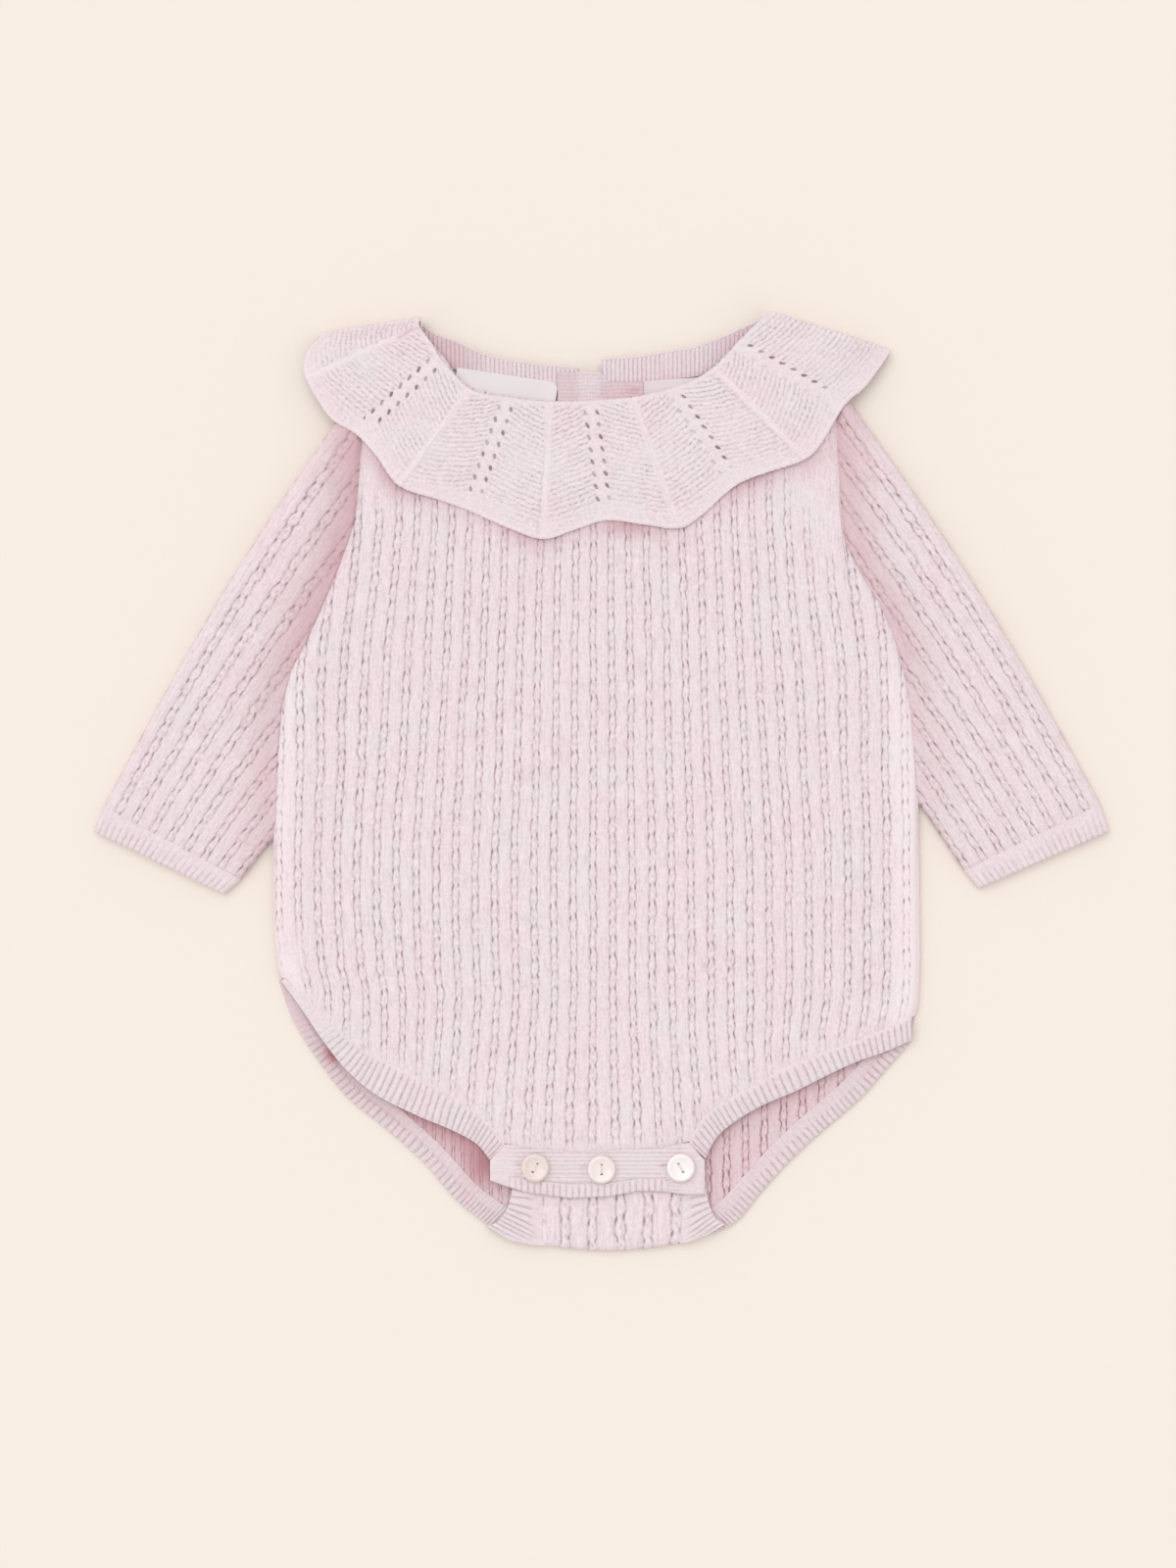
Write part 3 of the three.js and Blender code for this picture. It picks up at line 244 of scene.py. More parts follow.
# Node graphs
class Value:
    def __init__(self, graph, socket):
        self.graph = graph
        self.socket = socket

    def __add__(self, other):
        return self.graph.maths("ADD", self, other)

    def __radd__(self, other):
        return self.graph.maths("ADD", other, self)

    def __sub__(self, other):
        return self.graph.maths("SUBTRACT", self, other)

    def __rsub__(self, other):
        return self.graph.maths("SUBTRACT", other, self)

    def __mul__(self, other):
        return self.graph.maths("MULTIPLY", self, other)

    def __rmul__(self, other):
        return self.graph.maths("MULTIPLY", other, self)

    def __truediv__(self, other):
        return self.graph.maths("DIVIDE", self, other)

    def __rtruediv__(self, other):
        return self.graph.maths("DIVIDE", other, self)

    def __pow__(self, other):
        return self.graph.maths("POWER", self, other)

    def sin(self):
        return self.graph.maths("SINE", self)

    def cos(self):
        return self.graph.maths("COSINE", self)

    def floor(self):
        return self.graph.maths("FLOOR", self)

    def abs(self):
        return self.graph.maths("ABSOLUTE", self)

    def hill(self, width):
        scaled = self / width
        return self.graph.maths("EXPONENT", scaled * scaled * -1)

    def ramp(self, start, end):
        node = self.graph.add("ShaderNodeMapRange", {"interpolation_type": "SMOOTHSTEP"},
                              {0: self, 1: start, 2: end})
        return Value(self.graph, node.outputs[0])

    # A number from 0 to 1 that jumps from one whole number to the next
    def scatter(self, size):
        spread = self.sin() * size
        return spread - spread.floor()


class Graph:
    def __init__(self, tree):
        self.tree = tree

    def add(self, kind, settings=None, inputs=None):
        node = self.tree.nodes.new(kind)
        for name, value in (settings or {}).items():
            setattr(node, name, value)
        for name, value in (inputs or {}).items():
            if isinstance(value, Value):
                self.tree.links.new(value.socket, node.inputs[name])
            elif isinstance(value, bpy.types.NodeSocket):
                self.tree.links.new(value, node.inputs[name])
            else:
                node.inputs[name].default_value = value
        return node

    def maths(self, operation, *values):
        node = self.add("ShaderNodeMath", {"operation": operation}, dict(enumerate(values)))
        return Value(self, node.outputs[0])

    def parts(self, vector):
        node = self.add("ShaderNodeSeparateXYZ", None, {0: vector})
        return [Value(self, socket) for socket in node.outputs]

    # The points' own values: read in the geometry graph or the shader
    def stored(self, name):
        if self.tree.type == "GEOMETRY":
            node = self.add("GeometryNodeInputNamedAttribute", {"data_type": "FLOAT_VECTOR"}, {"Name": name})
            return self.parts(node.outputs["Attribute"])
        return self.parts(self.add("ShaderNodeAttribute", {"attribute_name": name}).outputs["Vector"])

    def colour(self, factor, a, b):
        node = self.add("ShaderNodeMix", {"data_type": "RGBA"}, {0: factor, 6: a, 7: b})
        return node.outputs[2]

    def noise(self, vector, scale, detail=2.0):
        node = self.add("ShaderNodeTexNoise", None, {"Vector": vector, "Scale": scale, "Detail": detail})
        return Value(self, node.outputs[0])

    def vector(self, x, y, z):
        return self.add("ShaderNodeCombineXYZ", None, {0: x, 1: y, 2: z}).outputs[0]


# The knits. Each gives a height from 0 to 1 and how much of the light is lost in its hollows.
# Widths across the body knit are shares of its repeat, lengths along it are in millimetres.
bodyRib = dict(chain=0.81, lozenge=6.1, dots=3.05, narrow=0.125, swell=0.055, groove=0.043, softEdge=0.11,
               dotWidth=0.024, sparkWidth=0.04, stitch=1.5, sway=0.15, swayLength=9.0, fray=0.07,
               frayLength=1.5, drift=0.12, driftLength=23.0,
               depth=dict(soft=0.2, groove=0.42, dot=0.16, chain=0.1, stitches=0.07),
               dark=dict(groove=0.65, soft=0.05, dot=0.34, spark=0.24))
laceKnit = dict(row=1.95, slant=7.0, ridge=0.9, apart=2.1, pitch=4.45, holeAcross=0.5, holeAlong=0.84,
                lean=-0.3, first=2.05, last=6.4,
                depth=dict(line=0.38, crest=0.4, strip=0.22, fuzz=0.3, frayed=0.5, hole=2.0),
                dark=dict(frayed=0.14, crest=0.14, hole=0.9))


def bodyKnit(graph):
    s, depth, dark = bodyRib, bodyRib["depth"], bodyRib["dark"]
    wale, course, _ = graph.stored("knit")
    place = wale - s["chain"] + 0.5
    unit = place.floor()
    slip = (unit * 12.99).scatter(437.5)
    sway = graph.noise(graph.vector(unit * 5.3, course / s["swayLength"], 0.0), 1.0) - 0.5
    side = place - unit - 0.5 + sway * s["sway"]
    away = side.abs()
    hand = side.ramp(-0.02, 0.02)
    # Each loop widens downward, then the next one starts narrow under a dark mark
    drift = (course / s["driftLength"] + slip * 31).sin() * s["drift"]
    down = slip + drift + hand * 0.12 - course / s["lozenge"]
    loop = down.floor()
    down = down - loop
    chance = (loop * 7.77 + unit * 3.1 + hand * 1.7).scatter(93.7)
    fray = graph.noise(graph.vector(unit * 7.1 + hand * 3.3, course / s["frayLength"], 5.0), 1.0) - 0.5
    spread = (down.ramp(0, 0.65) - down.ramp(0.82, 1.0)) * (chance * 0.9 + 0.5)
    half = spread * s["swell"] + fray * s["fray"] + s["narrow"]
    groove = (away - half).hill(s["groove"])
    start = (down - 0.12).hill(0.15) + (down - 1.12).hill(0.15)
    strength = start * (chance * 0.6 + 0.4) + fray * 1.6 + chance * 0.25 + 0.4
    soft = (away - half).hill(s["softEdge"])
    # Small dark and light dots inside the chain: the dark ones sunk and painted with shade, the light ones
    # painted highlights
    tick = (course / s["dots"] + slip) * tau
    dot = tick.cos().ramp(0.3, 1) * (side + (tick * 0.5).sin() * 0.03).hill(s["dotWidth"])
    spark = (tick.cos() * -1).ramp(0.2, 1) * side.hill(s["sparkWidth"])
    stitches = stitchRows(away * 6.2, course, s["stitch"]) * depth["stitches"]
    height = (1 - soft * depth["soft"] - groove * strength * depth["groove"] - dot * depth["dot"]
              - away.ramp(0.2, 0.1) * depth["chain"] + stitches)
    hollow = groove * strength * dark["groove"] + soft * dark["soft"] + dot * dark["dot"]
    return height, hollow - spark * dark["spark"]


# Rows of V stitches within each wale
def stitchRows(wale, course, pitch):
    spot = (wale - wale.floor() - 0.5).abs()
    return ((course / pitch + spot * 0.9) * tau).cos() * (0.5 - spot)


def fineRib(graph):
    wale, course, fade = graph.stored("knit")
    rib = (wale * tau).cos() * -0.5 + 0.5
    stitches = stitchRows(wale * 2, course, 1.45)
    frayed = graph.noise(graph.vector(wale.floor() * 3.7, course / 2.0, 2.0), 1.0)
    height = 0.9 - ((1 - rib) ** 3) * 0.8 + stitches * 0.2
    return height, ((1 - rib) ** 5) * (frayed * 0.7 + 0.1) * fade


def plainRows(graph):
    wale, course, _ = graph.stored("knit")
    row = ((course / 1.3 + (wale * 0.7).sin() * 0.12) * tau).cos() * 0.5 + 0.5
    return row * 0.5 + stitchRows(wale, course, 1.3) * 0.2, (row ** 3) * 0.12


def laceRows(graph):
    s, depth, dark = laceKnit, laceKnit["depth"], laceKnit["dark"]
    side, reach, _ = graph.stored("knit")
    ridge, eyelet, edge = graph.stored("lace")
    share = ridge / (ridge + eyelet + 0.01)
    frayed = graph.noise(graph.vector(side * 0.9, reach * 1.1, 7.0), 1.0) - 0.5
    swayed = graph.noise(graph.vector(side * 0.22, reach * 0.2, 4.0), 1.0) - 0.5
    # Slanting rows between the ridges and the eyelets
    wander = (side * 1.3 + reach * 0.37).sin() * (reach * 0.9 - side * 0.5).sin() * 0.1 + swayed * 1.1
    phase = (reach + share * s["slant"] - s["slant"]) / s["row"] + wander
    row = (phase * tau).cos() * 0.5 + 0.5
    free = ridge.ramp(0.7, 1.7) * eyelet.ramp(2.2, 3.2)
    free = free * (edge.ramp(3, 9) * 0.75 + 0.25) * reach.ramp(0.5, 2.5)
    # Two rows of small eyelets, some of them half closed. They are sunk, not cut through, and painted dark as
    # shade
    step = (reach - s["first"]) / s["pitch"]
    run = (step - step.floor() - 0.5) * s["pitch"]
    hand = side.ramp(-0.1, 0.1)
    across = side.abs() - s["apart"] + hand * run * s["lean"] * 2 - run * s["lean"]
    rowOn = across / s["holeAcross"]
    cell = run / s["holeAlong"]
    away = (rowOn * rowOn + cell * cell) ** 0.5 + frayed * 0.9
    pick = (step.floor() * 5.31 + hand * 2.7).scatter(43.7)
    inside = reach.ramp(s["first"] - 0.4, s["first"] + 0.4)
    hole = away.ramp(1.35, 0.75) * inside * edge.ramp(s["last"] - 1, s["last"] + 1)
    hole = hole * (1 - graph.stored("shade")[1]) * (pick * 0.45 + 0.6)
    # The ridges' crests are raised and painted light
    crest = ridge.hill(s["ridge"])
    strip = eyelet.hill(1.3) * edge.ramp(5, 9)
    line = row ** 3
    dashes = ((side * 2.9 + reach * 1.1).sin() * (phase * 2.1).sin()).ramp(-0.6, 0.7)
    fuzz = stitchRows(side / 1.6, reach + share * 2, 1.5)
    height = (0.5 - line * free * depth["line"] + crest * depth["crest"] + strip * depth["strip"]
              + fuzz * depth["fuzz"] + frayed * depth["frayed"] - hole * depth["hole"])
    patchy = graph.noise(graph.vector(side * 0.06, reach * 0.06, 11.0), 1.0).ramp(0.35, 0.65) * 0.9 + 0.55
    rows = line * free * patchy * (dashes * 0.2 + frayed * 0.9 + 0.2)
    return height, rows - frayed * dark["frayed"] - crest * dark["crest"] + hole * dark["hole"]


knits = dict(body=bodyKnit, rib=fineRib, rows=plainRows, lace=laceRows)


# A geometry graph with named inputs, and the sockets that they arrive at
def geometryGraph(name, **kinds):
    tree = bpy.data.node_groups.new(name, "GeometryNodeTree")
    tree.interface.new_socket("Geometry", in_out="INPUT", socket_type="NodeSocketGeometry")
    for label, kind in kinds.items():
        tree.interface.new_socket(label, in_out="INPUT", socket_type="NodeSocket" + kind)
    tree.interface.new_socket("Geometry", in_out="OUTPUT", socket_type="NodeSocketGeometry")
    graph = Graph(tree)
    return graph, graph.add("NodeGroupInput").outputs


def painted(graph, geometry, given):
    node = graph.add("GeometryNodeSetMaterial", None, {"Geometry": geometry, "Material": given["material"]})
    graph.add("NodeGroupOutput", None, {0: node.outputs[0]})
    return graph.tree


# Raises the cloth's outer points by the height of its knit
def reliefGraph(knit):
    graph, given = geometryGraph(knit + "Relief", rise="Float", material="Material")
    height, _ = knits[knit](graph)
    offset = graph.vector(0.0, 0.0, height * graph.stored("knit")[2] * Value(graph, given["rise"]))
    moved = graph.add("GeometryNodeSetPosition", None, {"Geometry": given["Geometry"], "Offset": offset})
    return painted(graph, moved.outputs[0], given)


# Small loops of yarn one after another along an edge
def loopGraph():
    graph, given = geometryGraph("edgeLoops", pitch="Float", length="Float", width="Float", seed="Int",
                                 material="Material")
    spots = graph.add("GeometryNodeCurveToPoints", {"mode": "LENGTH"},
                      {"Curve": given["Geometry"], "Length": given["pitch"]})
    bead = graph.add("GeometryNodeMeshUVSphere", None, {"Segments": 7, "Rings": 5, "Radius": 0.5})
    size = graph.vector(given["width"], given["width"], given["length"])
    shaped = graph.add("GeometryNodeTransform", None, {"Geometry": bead.outputs["Mesh"], "Scale": size})
    tilt = graph.add("FunctionNodeRandomValue", {"data_type": "FLOAT_VECTOR"},
                     {0: (-0.5, -0.5, -0.5), 1: (0.5, 0.5, 0.5), "Seed": given["seed"]})
    swell = graph.add("FunctionNodeRandomValue", {"data_type": "FLOAT"},
                      {2: 0.8, 3: 1.2, "Seed": given["seed"]})
    turn = graph.add("FunctionNodeRotateRotation", None, {0: spots.outputs["Rotation"], 1: tilt.outputs[0]})
    copies = graph.add("GeometryNodeInstanceOnPoints", None,
                       {"Points": spots.outputs["Points"], "Instance": shaped.outputs[0],
                        "Rotation": turn.outputs[0], "Scale": swell.outputs[1]})
    real = graph.add("GeometryNodeRealizeInstances", None, {0: copies.outputs[0]})
    shade = graph.add("GeometryNodeSetShadeSmooth", None, {0: real.outputs[0]})
    return painted(graph, shade.outputs[0], given)


# Runs a graph on an object and leaves a plain mesh
def applyGraph(obj, tree, values):
    modifier = obj.modifiers.new(tree.name, "NODES")
    modifier.node_group = tree
    for item in tree.interface.items_tree:
        if item.in_out == "INPUT" and item.name in values:
            modifier[item.identifier] = values[item.name]
    depsgraph = bpy.context.evaluated_depsgraph_get()
    plain = bpy.data.meshes.new_from_object(obj.evaluated_get(depsgraph))
    obj.modifiers.clear()
    return plain


def gridFaces(start, columns, rows):
    i, j = np.meshgrid(np.arange(columns - 1), np.arange(rows - 1), indexing="ij")
    a = (start + i * rows + j).ravel()
    return np.stack([a, a + rows, a + rows + 1, a + 1], 1).tolist()


def zipEdges(points, outer, inner):
    def shares(edge):
        steps = np.linalg.norm(np.diff(points[edge], axis=0), axis=1) + 1e-9
        return np.concatenate([[0], np.cumsum(steps)]) / steps.sum()

    a, b = shares(outer), shares(inner)
    faces, i, j = [], 0, 0
    while i + 1 < len(outer) or j + 1 < len(inner):
        if j + 1 >= len(inner) or (i + 1 < len(outer) and a[i + 1] <= b[j + 1]):
            faces.append((outer[i + 1], outer[i], inner[j]))
            i += 1
        else:
            faces.append((outer[i], inner[j], inner[j + 1]))
            j += 1
    return faces


# Closed cloth from a fine outer grid and a plainer inner one, both arrays of column, row and place.
# Each stored value is given for the outer grid, then for the inner one.
def clothMesh(name, outer, inner, tube=False, **stored):
    n, m = outer.shape[:2]
    p, q = inner.shape[:2]
    points = np.concatenate([outer.reshape(-1, 3), inner.reshape(-1, 3)])
    outerIds = np.arange(n * m).reshape(n, m)
    innerIds = n * m + np.arange(p * q).reshape(p, q)
    faces = gridFaces(0, n, m) + [face[::-1] for face in gridFaces(n * m, p, q)]
    faces += zipEdges(points, outerIds[:, 0], innerIds[:, 0])
    faces += zipEdges(points, outerIds[::-1, -1], innerIds[::-1, -1])
    if not tube:
        faces += zipEdges(points, outerIds[-1], innerIds[-1])
        faces += zipEdges(points, outerIds[0, ::-1], innerIds[0, ::-1])
    mesh = bpy.data.meshes.new(name)
    mesh.from_pydata((points * mm).tolist(), [], [tuple(int(v) for v in face) for face in faces])
    for label, sides in stored.items():
        values = [np.broadcast_to(stack(*parts), grid.shape).reshape(-1, 3)
                  for parts, grid in zip(sides, (outer, inner))]
        attribute = mesh.attributes.new(label, "FLOAT_VECTOR", "POINT")
        attribute.data.foreach_set("vector", np.concatenate(values).ravel())
    return mesh


def weld(mesh):
    work = bmesh.new()
    work.from_mesh(mesh)
    bmesh.ops.remove_doubles(work, verts=work.verts, dist=2e-6)
    bmesh.ops.dissolve_degenerate(work, edges=work.edges, dist=1e-6)
    if work.calc_volume(signed=True) < 0:
        bmesh.ops.reverse_faces(work, faces=work.faces)
    work.to_mesh(mesh)
    work.free()


def inScene(name, data):
    obj = bpy.data.objects.new(name, data)
    bpy.context.scene.collection.objects.link(obj)
    return obj


# A finished piece in the place of one solid, or a small one that stands for none
def shown(name, mesh, node=None):
    obj = inScene(name, mesh)
    mesh.polygons.foreach_set("use_smooth", [True] * len(mesh.polygons))
    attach(obj, "root")
    if node:
        mesh.set_sharp_from_angle(angle=math.radians(sharpFrom))
        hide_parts(node)
    print(name, len(mesh.polygons), "faces")


sharpFrom = 58
graphs = {}


def knitted(name, mesh, knit, rise, material, node):
    weld(mesh)
    if knit not in graphs:
        graphs[knit] = reliefGraph(knit)
    raw = inScene(name + "Raw", mesh)
    plain = applyGraph(raw, graphs[knit], {"rise": rise * mm, "material": material})
    bpy.data.objects.remove(raw)
    plain.name = name
    shown(name, plain, node)


# Materials
# Yarn colours. top, grey and rose are the yarn's own tones; line is painted shade in the knit's hollows,
# shared with its flecks and streaks; deep is painted shade wherever the shade value is set; hole is painted
# shade in the deepest hollows and the eyelets; inside is painted shade on the pieces seen inside the neck and
# leg openings; shaded is the painted shade of the hollows on the back panel's inside
yarnLook = dict(top=(0.94, 0.82, 0.855, 1), grey=(0.90, 0.83, 0.86, 1), rose=(0.93, 0.78, 0.83, 1),
                line=(0.33, 0.245, 0.265, 1), deep=(0.53, 0.245, 0.285, 1), hole=(0.40, 0.275, 0.295, 1),
                inside=(0.60, 0.29, 0.335, 1), shaded=(0.37, 0.185, 0.215, 1))


def emptyMaterial(name):
    material = bpy.data.materials.new(name)
    material.use_nodes = True
    material.node_tree.nodes.clear()
    return material, Graph(material.node_tree)


def surface(graph, base, relief, bump, distance, **look):
    bumped = graph.add("ShaderNodeBump", None, {"Strength": bump, "Distance": distance, "Height": relief})
    inputs = {label.replace("_", " "): value for label, value in look.items()}
    shader = graph.add("ShaderNodeBsdfPrincipled", None,
                       {"Base Color": base, "Normal": bumped.outputs[0], **inputs})
    graph.add("ShaderNodeOutputMaterial", None, {0: shader.outputs[0]})


# Heathered yarn: greyer and rosier patches, light and dark flecks, and painted shade: darker hollows, darker
# where the shade value is set and on pieces seen inside the openings, with painted light where the shade
# value is below zero
def yarnMaterial(name, knit, bump=0.5, depth=0.0005, inner=0.0, patch=(0.6, 0.055), flecks=0.6, lines=1.0,
                 line="line"):
    material, graph = emptyMaterial(name)
    wale, course, _ = graph.stored("knit")
    height, hollow = knits[knit](graph)
    shade, _, calm = graph.stored("shade")
    hollow = hollow * (1 - calm)
    spot = graph.add("ShaderNodeTexCoord").outputs["Object"]
    patches = graph.noise(graph.vector(wale * patch[0], course * patch[1], 0.0), 1.0, 3.0)
    clouds = graph.noise(spot, 38.0, 2.0)
    streaks = graph.noise(graph.vector(wale * 10.0, course * 0.13, 3.0), 1.0, 2.0)
    fibres = graph.noise(spot, 1900.0, 3.0)
    flecked = graph.noise(spot, 850.0, 3.0)
    strands = graph.noise(graph.vector(wale * 15.0, course * 0.5, 9.0), 1.0, 2.0)
    base = graph.colour((patches * 0.6 + clouds * 0.4).ramp(0.38, 0.62), yarnLook["grey"], yarnLook["rose"])
    base = graph.colour(flecked.ramp(0.42, 0.72), base, yarnLook["top"])
    grain = (0.5 - flecked) * 0.8 * flecks + (0.5 - streaks) * 0.8 + (0.5 - strands) * 0.6
    # Painted shade: by the share given as inner, pieces seen inside the openings turn a darker rose
    base = graph.colour(inner, base, yarnLook["inside"])
    # A shade below zero is painted light: it lightens the cloth
    lit = (shade * -1).ramp(0, 0.5) * 0.5
    base = graph.colour((hollow * lines + grain - lit).ramp(-0.35, 1.25), base, yarnLook[line])
    base = graph.colour(shade.ramp(-0.12, 1.2), base, yarnLook["deep"])
    # Painted shade in the deepest hollows and in the eyelets, which are not cut through
    base = graph.colour(hollow.ramp(0.8, 1.0), base, yarnLook["hole"])
    relief = height * (1 - calm) + fibres * 0.22 + flecked * 0.3 - streaks * 0.5
    surface(graph, base, relief, bump, depth, Roughness=0.92, Sheen_Weight=0.15, Sheen_Roughness=0.6,
            Specular_IOR_Level=0.12)
    return material


def plainMaterial(name, colour, second, cloudScale, grainScale, bump, roughness, coat=0.0):
    material, graph = emptyMaterial(name)
    spot = graph.add("ShaderNodeTexCoord").outputs["Object"]
    clouds = graph.noise(spot, cloudScale, 3.0)
    base = graph.colour(clouds.ramp(0.35, 0.65), colour, second)
    grain = graph.noise(spot, grainScale, 2.0)
    surface(graph, base, grain, bump, 0.0002, Roughness=roughness, Coat_Weight=coat, Coat_Roughness=0.15)
    return material


bodyYarn = yarnMaterial("bodyYarn", "body")
ribYarn = yarnMaterial("ribYarn", "rib", patch=(0.2, 0.05))
insideRib = yarnMaterial("insideRib", "rib", inner=0.1, patch=(0.2, 0.05))
neckRib = yarnMaterial("neckRib", "rib", inner=0.02, patch=(0.2, 0.05), lines=1.5)
insideBody = yarnMaterial("insideBody", "body", inner=0.26, lines=1.7, line="shaded")
rowYarn = yarnMaterial("rowYarn", "rows", inner=0.09, patch=(0.1, 0.1))
laceYarn = yarnMaterial("laceYarn", "lace", patch=(0.06, 0.06), flecks=0.9)
loopYarn = plainMaterial("loopYarn", (0.82, 0.715, 0.75, 1), (0.85, 0.745, 0.78, 1), cloudScale=300.0,
                         grainScale=2500.0, bump=0.5, roughness=0.9)
shellLook = dict(cloudScale=420.0, grainScale=900.0, bump=0.05, roughness=0.28, coat=0.5)
shells = [
    plainMaterial("shellCream", (0.84, 0.735, 0.70, 1), (0.80, 0.68, 0.64, 1), **shellLook),
    plainMaterial("shellPink", (0.88, 0.78, 0.77, 1), (0.92, 0.82, 0.81, 1), **shellLook),
    plainMaterial("shellWhite", (0.97, 0.92, 0.91, 1), (0.93, 0.88, 0.88, 1), **shellLook),
]
satinLook = dict(cloudScale=30.0, grainScale=3000.0, bump=0.12, roughness=0.42, coat=0.1)
satin = plainMaterial("satinRibbon", (0.78, 0.73, 0.745, 1), (0.83, 0.785, 0.795, 1), **satinLook)
# Painted shade: a darker copy of the satin for the right label
shadedSatin = plainMaterial("satinRibbonRight", (0.73, 0.64, 0.66, 1), (0.78, 0.70, 0.715, 1), **satinLook)
threadLook = plainMaterial("buttonThread", (0.92, 0.82, 0.83, 1), (0.88, 0.76, 0.78, 1), cloudScale=800.0,
                           grainScale=3000.0, bump=0.4, roughness=0.8)
print("materials made")


# The panels of the body. Each column is at a count of the knit's repeats from the centre.
panelSettings = dict(units=33, straight=5.0, fanOut=4.2, leanIn=5.0, taper=0.07, sideRound=4.5,
                     armholeRound=7.0, rise=0.55, rowPitch=1.32, unevenness=0.42, wander=0.2, length=290,
                     below=-172, above=175, slack=0.01, placketRise=1.3, backRise=0.5, backSunk=0.45,
                     backRows=110)
unitColumns = (0.05, 0.14, 0.31, 0.48, 0.575, 0.615, 0.655, 0.73, 0.81, 0.89, 0.965, 1.005)


def columnX(c, y, fans):
    s = panelSettings
    share = c / (s["units"] / 2)
    x = np.abs(share) * sideX(share, np.minimum(y, s["straight"]))
    size = np.abs(x)
    fan = s["fanOut"] * np.tanh(x / 18) * (1 - smooth(size, 45, 85)) * smooth(-y, 60, 140)
    lean = s["leanIn"] * np.sign(x) * smooth(y, 30, 100) * smooth(size, 60, 100)
    taper = s["taper"] * x * np.clip((y + 25) / 85, 0, 1.4) * (1 - smooth(size, 60, 110))
    return x + (fan - taper if fans else 0) - lean


def columnSpans(c, crown, hem, inset, fans):
    s = panelSettings

    def inside(y):
        x = columnX(c, y, fans)
        left = read(leftSide, "y", "x", y) + inset - s["slack"]
        right = read(rightSide, "y", "x", y) - inset + s["slack"]
        below = (y < s["straight"]) & (np.abs(c) > s["units"] / 2 - 0.3)
        within = (x >= left) & (x <= right) & (y <= read(crown, "x", "y", x))
        return np.where(below, True, within) & (y >= read(hem, "x", "y", x))

    return furthest(inside, len(c), s["below"]), furthest(inside, len(c), s["above"])


def hollowDepth(x, y):
    depth = 0
    for i in range(len(hollows["depth"])):
        h = {name: values[i] for name, values in hollows.items()}
        dx, dy = h["toX"] - h["fromX"], h["toY"] - h["fromY"]
        t = np.clip(((x - h["fromX"]) * dx + (y - h["fromY"]) * dy) / (dx * dx + dy * dy), 0, 1)
        away = np.hypot(x - h["fromX"] - t * dx, y - h["fromY"] - t * dy)
        depth = depth + h["depth"] * np.exp(-(away / h["width"]) ** 2)
    return depth


def frontHeight(x, y, inset=0.0, thickness=0.0):
    s = panelSettings
    around = np.where(y > s["straight"], s["armholeRound"], s["sideRound"])
    low = raised(y) + wall["body"] + gap + 0.1
    rise = s["placketRise"] * smooth(-y, 95, 128)
    fold = hollowDepth(x, y) - s["unevenness"] * uneven(x, y, 3)
    high = raised(y) + level["body"] + rise - fold - thickness
    return low + (high - low) * quarterRound((fromSide(x, y) - inset) / around)


def seamRows(rows, moveX, moveY):
    at = along(rows, np.linspace(0, 1, 25))
    return {"x": at["seamX"] + moveX, "y": at["seamY"] + moveY}


middleTop = {"x": placketEdges["x"][2:7], "y": placketEdges["top"][2:7] - seamLap * 2}
frontHem = joined(table("x y", (-114.6, -69.9)), seamRows(frontBandLeft, 0, -seamLap), middleTop,
                  turned(seamRows(frontBandRight, 0, -seamLap)), table("x y", (115.6, -83.8)))
backHem = joined(table("x y", (-117.6, -68.0)), seamRows(backBandLeft, -seamLap, -seamLap),
                 table("x y", (-18.6, -157.2), (29.2, -157.2)),
                 turned(seamRows(backBandRight, seamLap, -seamLap)), table("x y", (117.6, -87.0)))


def ribbedColumns(first, last):
    found = [unit + share for unit in range(math.floor(first), math.ceil(last)) for share in unitColumns]
    found = [c for c in found if first + 0.04 < c < last - 0.04]
    return np.array([first, *found, last])


def panelGrid(columns, rows, crown, hem, inset, fans):
    bottom, top = columnSpans(columns, crown, hem, inset, fans)
    y = bottom[:, None] + (top - bottom)[:, None] * rows[None, :]
    c = np.repeat(columns[:, None], len(rows), 1)
    return c, columnX(c, y, fans), y


def coarseGrid(crown, hem, inset, fans):
    half = panelSettings["units"] / 2
    return panelGrid(np.linspace(-half, half, 67), np.linspace(0, 1, 34), crown, hem, inset, fans)


# Places where the knit is pulled smooth: centre, half width and half height
calmPlaces = ((79, 110, 9, 15), (-80, 114, 8, 13), (84, 92, 4, 12), (-110, -62, 4, 9))
# Painted shade, how much rosier the cloth looks under the ruffle and inside the leg openings, and painted
# light, how much lighter at the body's rims. Each spot of painted shade is an amount, a centre and a half
# width. hem and most: how smooth the knit lies by the hem, and the most that it is smoothed.
shadeSettings = dict(ruffle=0.36, rim=dict(left=0.22, right=0.32), leg=dict(left=0.66, right=0.3),
                     legReach=dict(left=7.5, right=6.0), band=0.5, hem=0.55, most=0.92,
                     spots=((0.5, -42, -141, 9), (1.7, -95.5, -98, 3.2)))


def bySide(x, values):
    return np.where(x < 0, values["left"], values["right"])


def legShade(x, y):
    s = shadeSettings
    near = [fromLine(x, y, rows["freeX"], rows["freeY"]) for rows in (frontBandLeft, frontBandRight)]
    shade = bySide(x, s["leg"]) * np.exp(-(np.minimum(*near) / bySide(x, s["legReach"])) ** 2)
    return shade + sum(amount * mound(x, y, px, py, size, size) for amount, px, py, size in s["spots"])


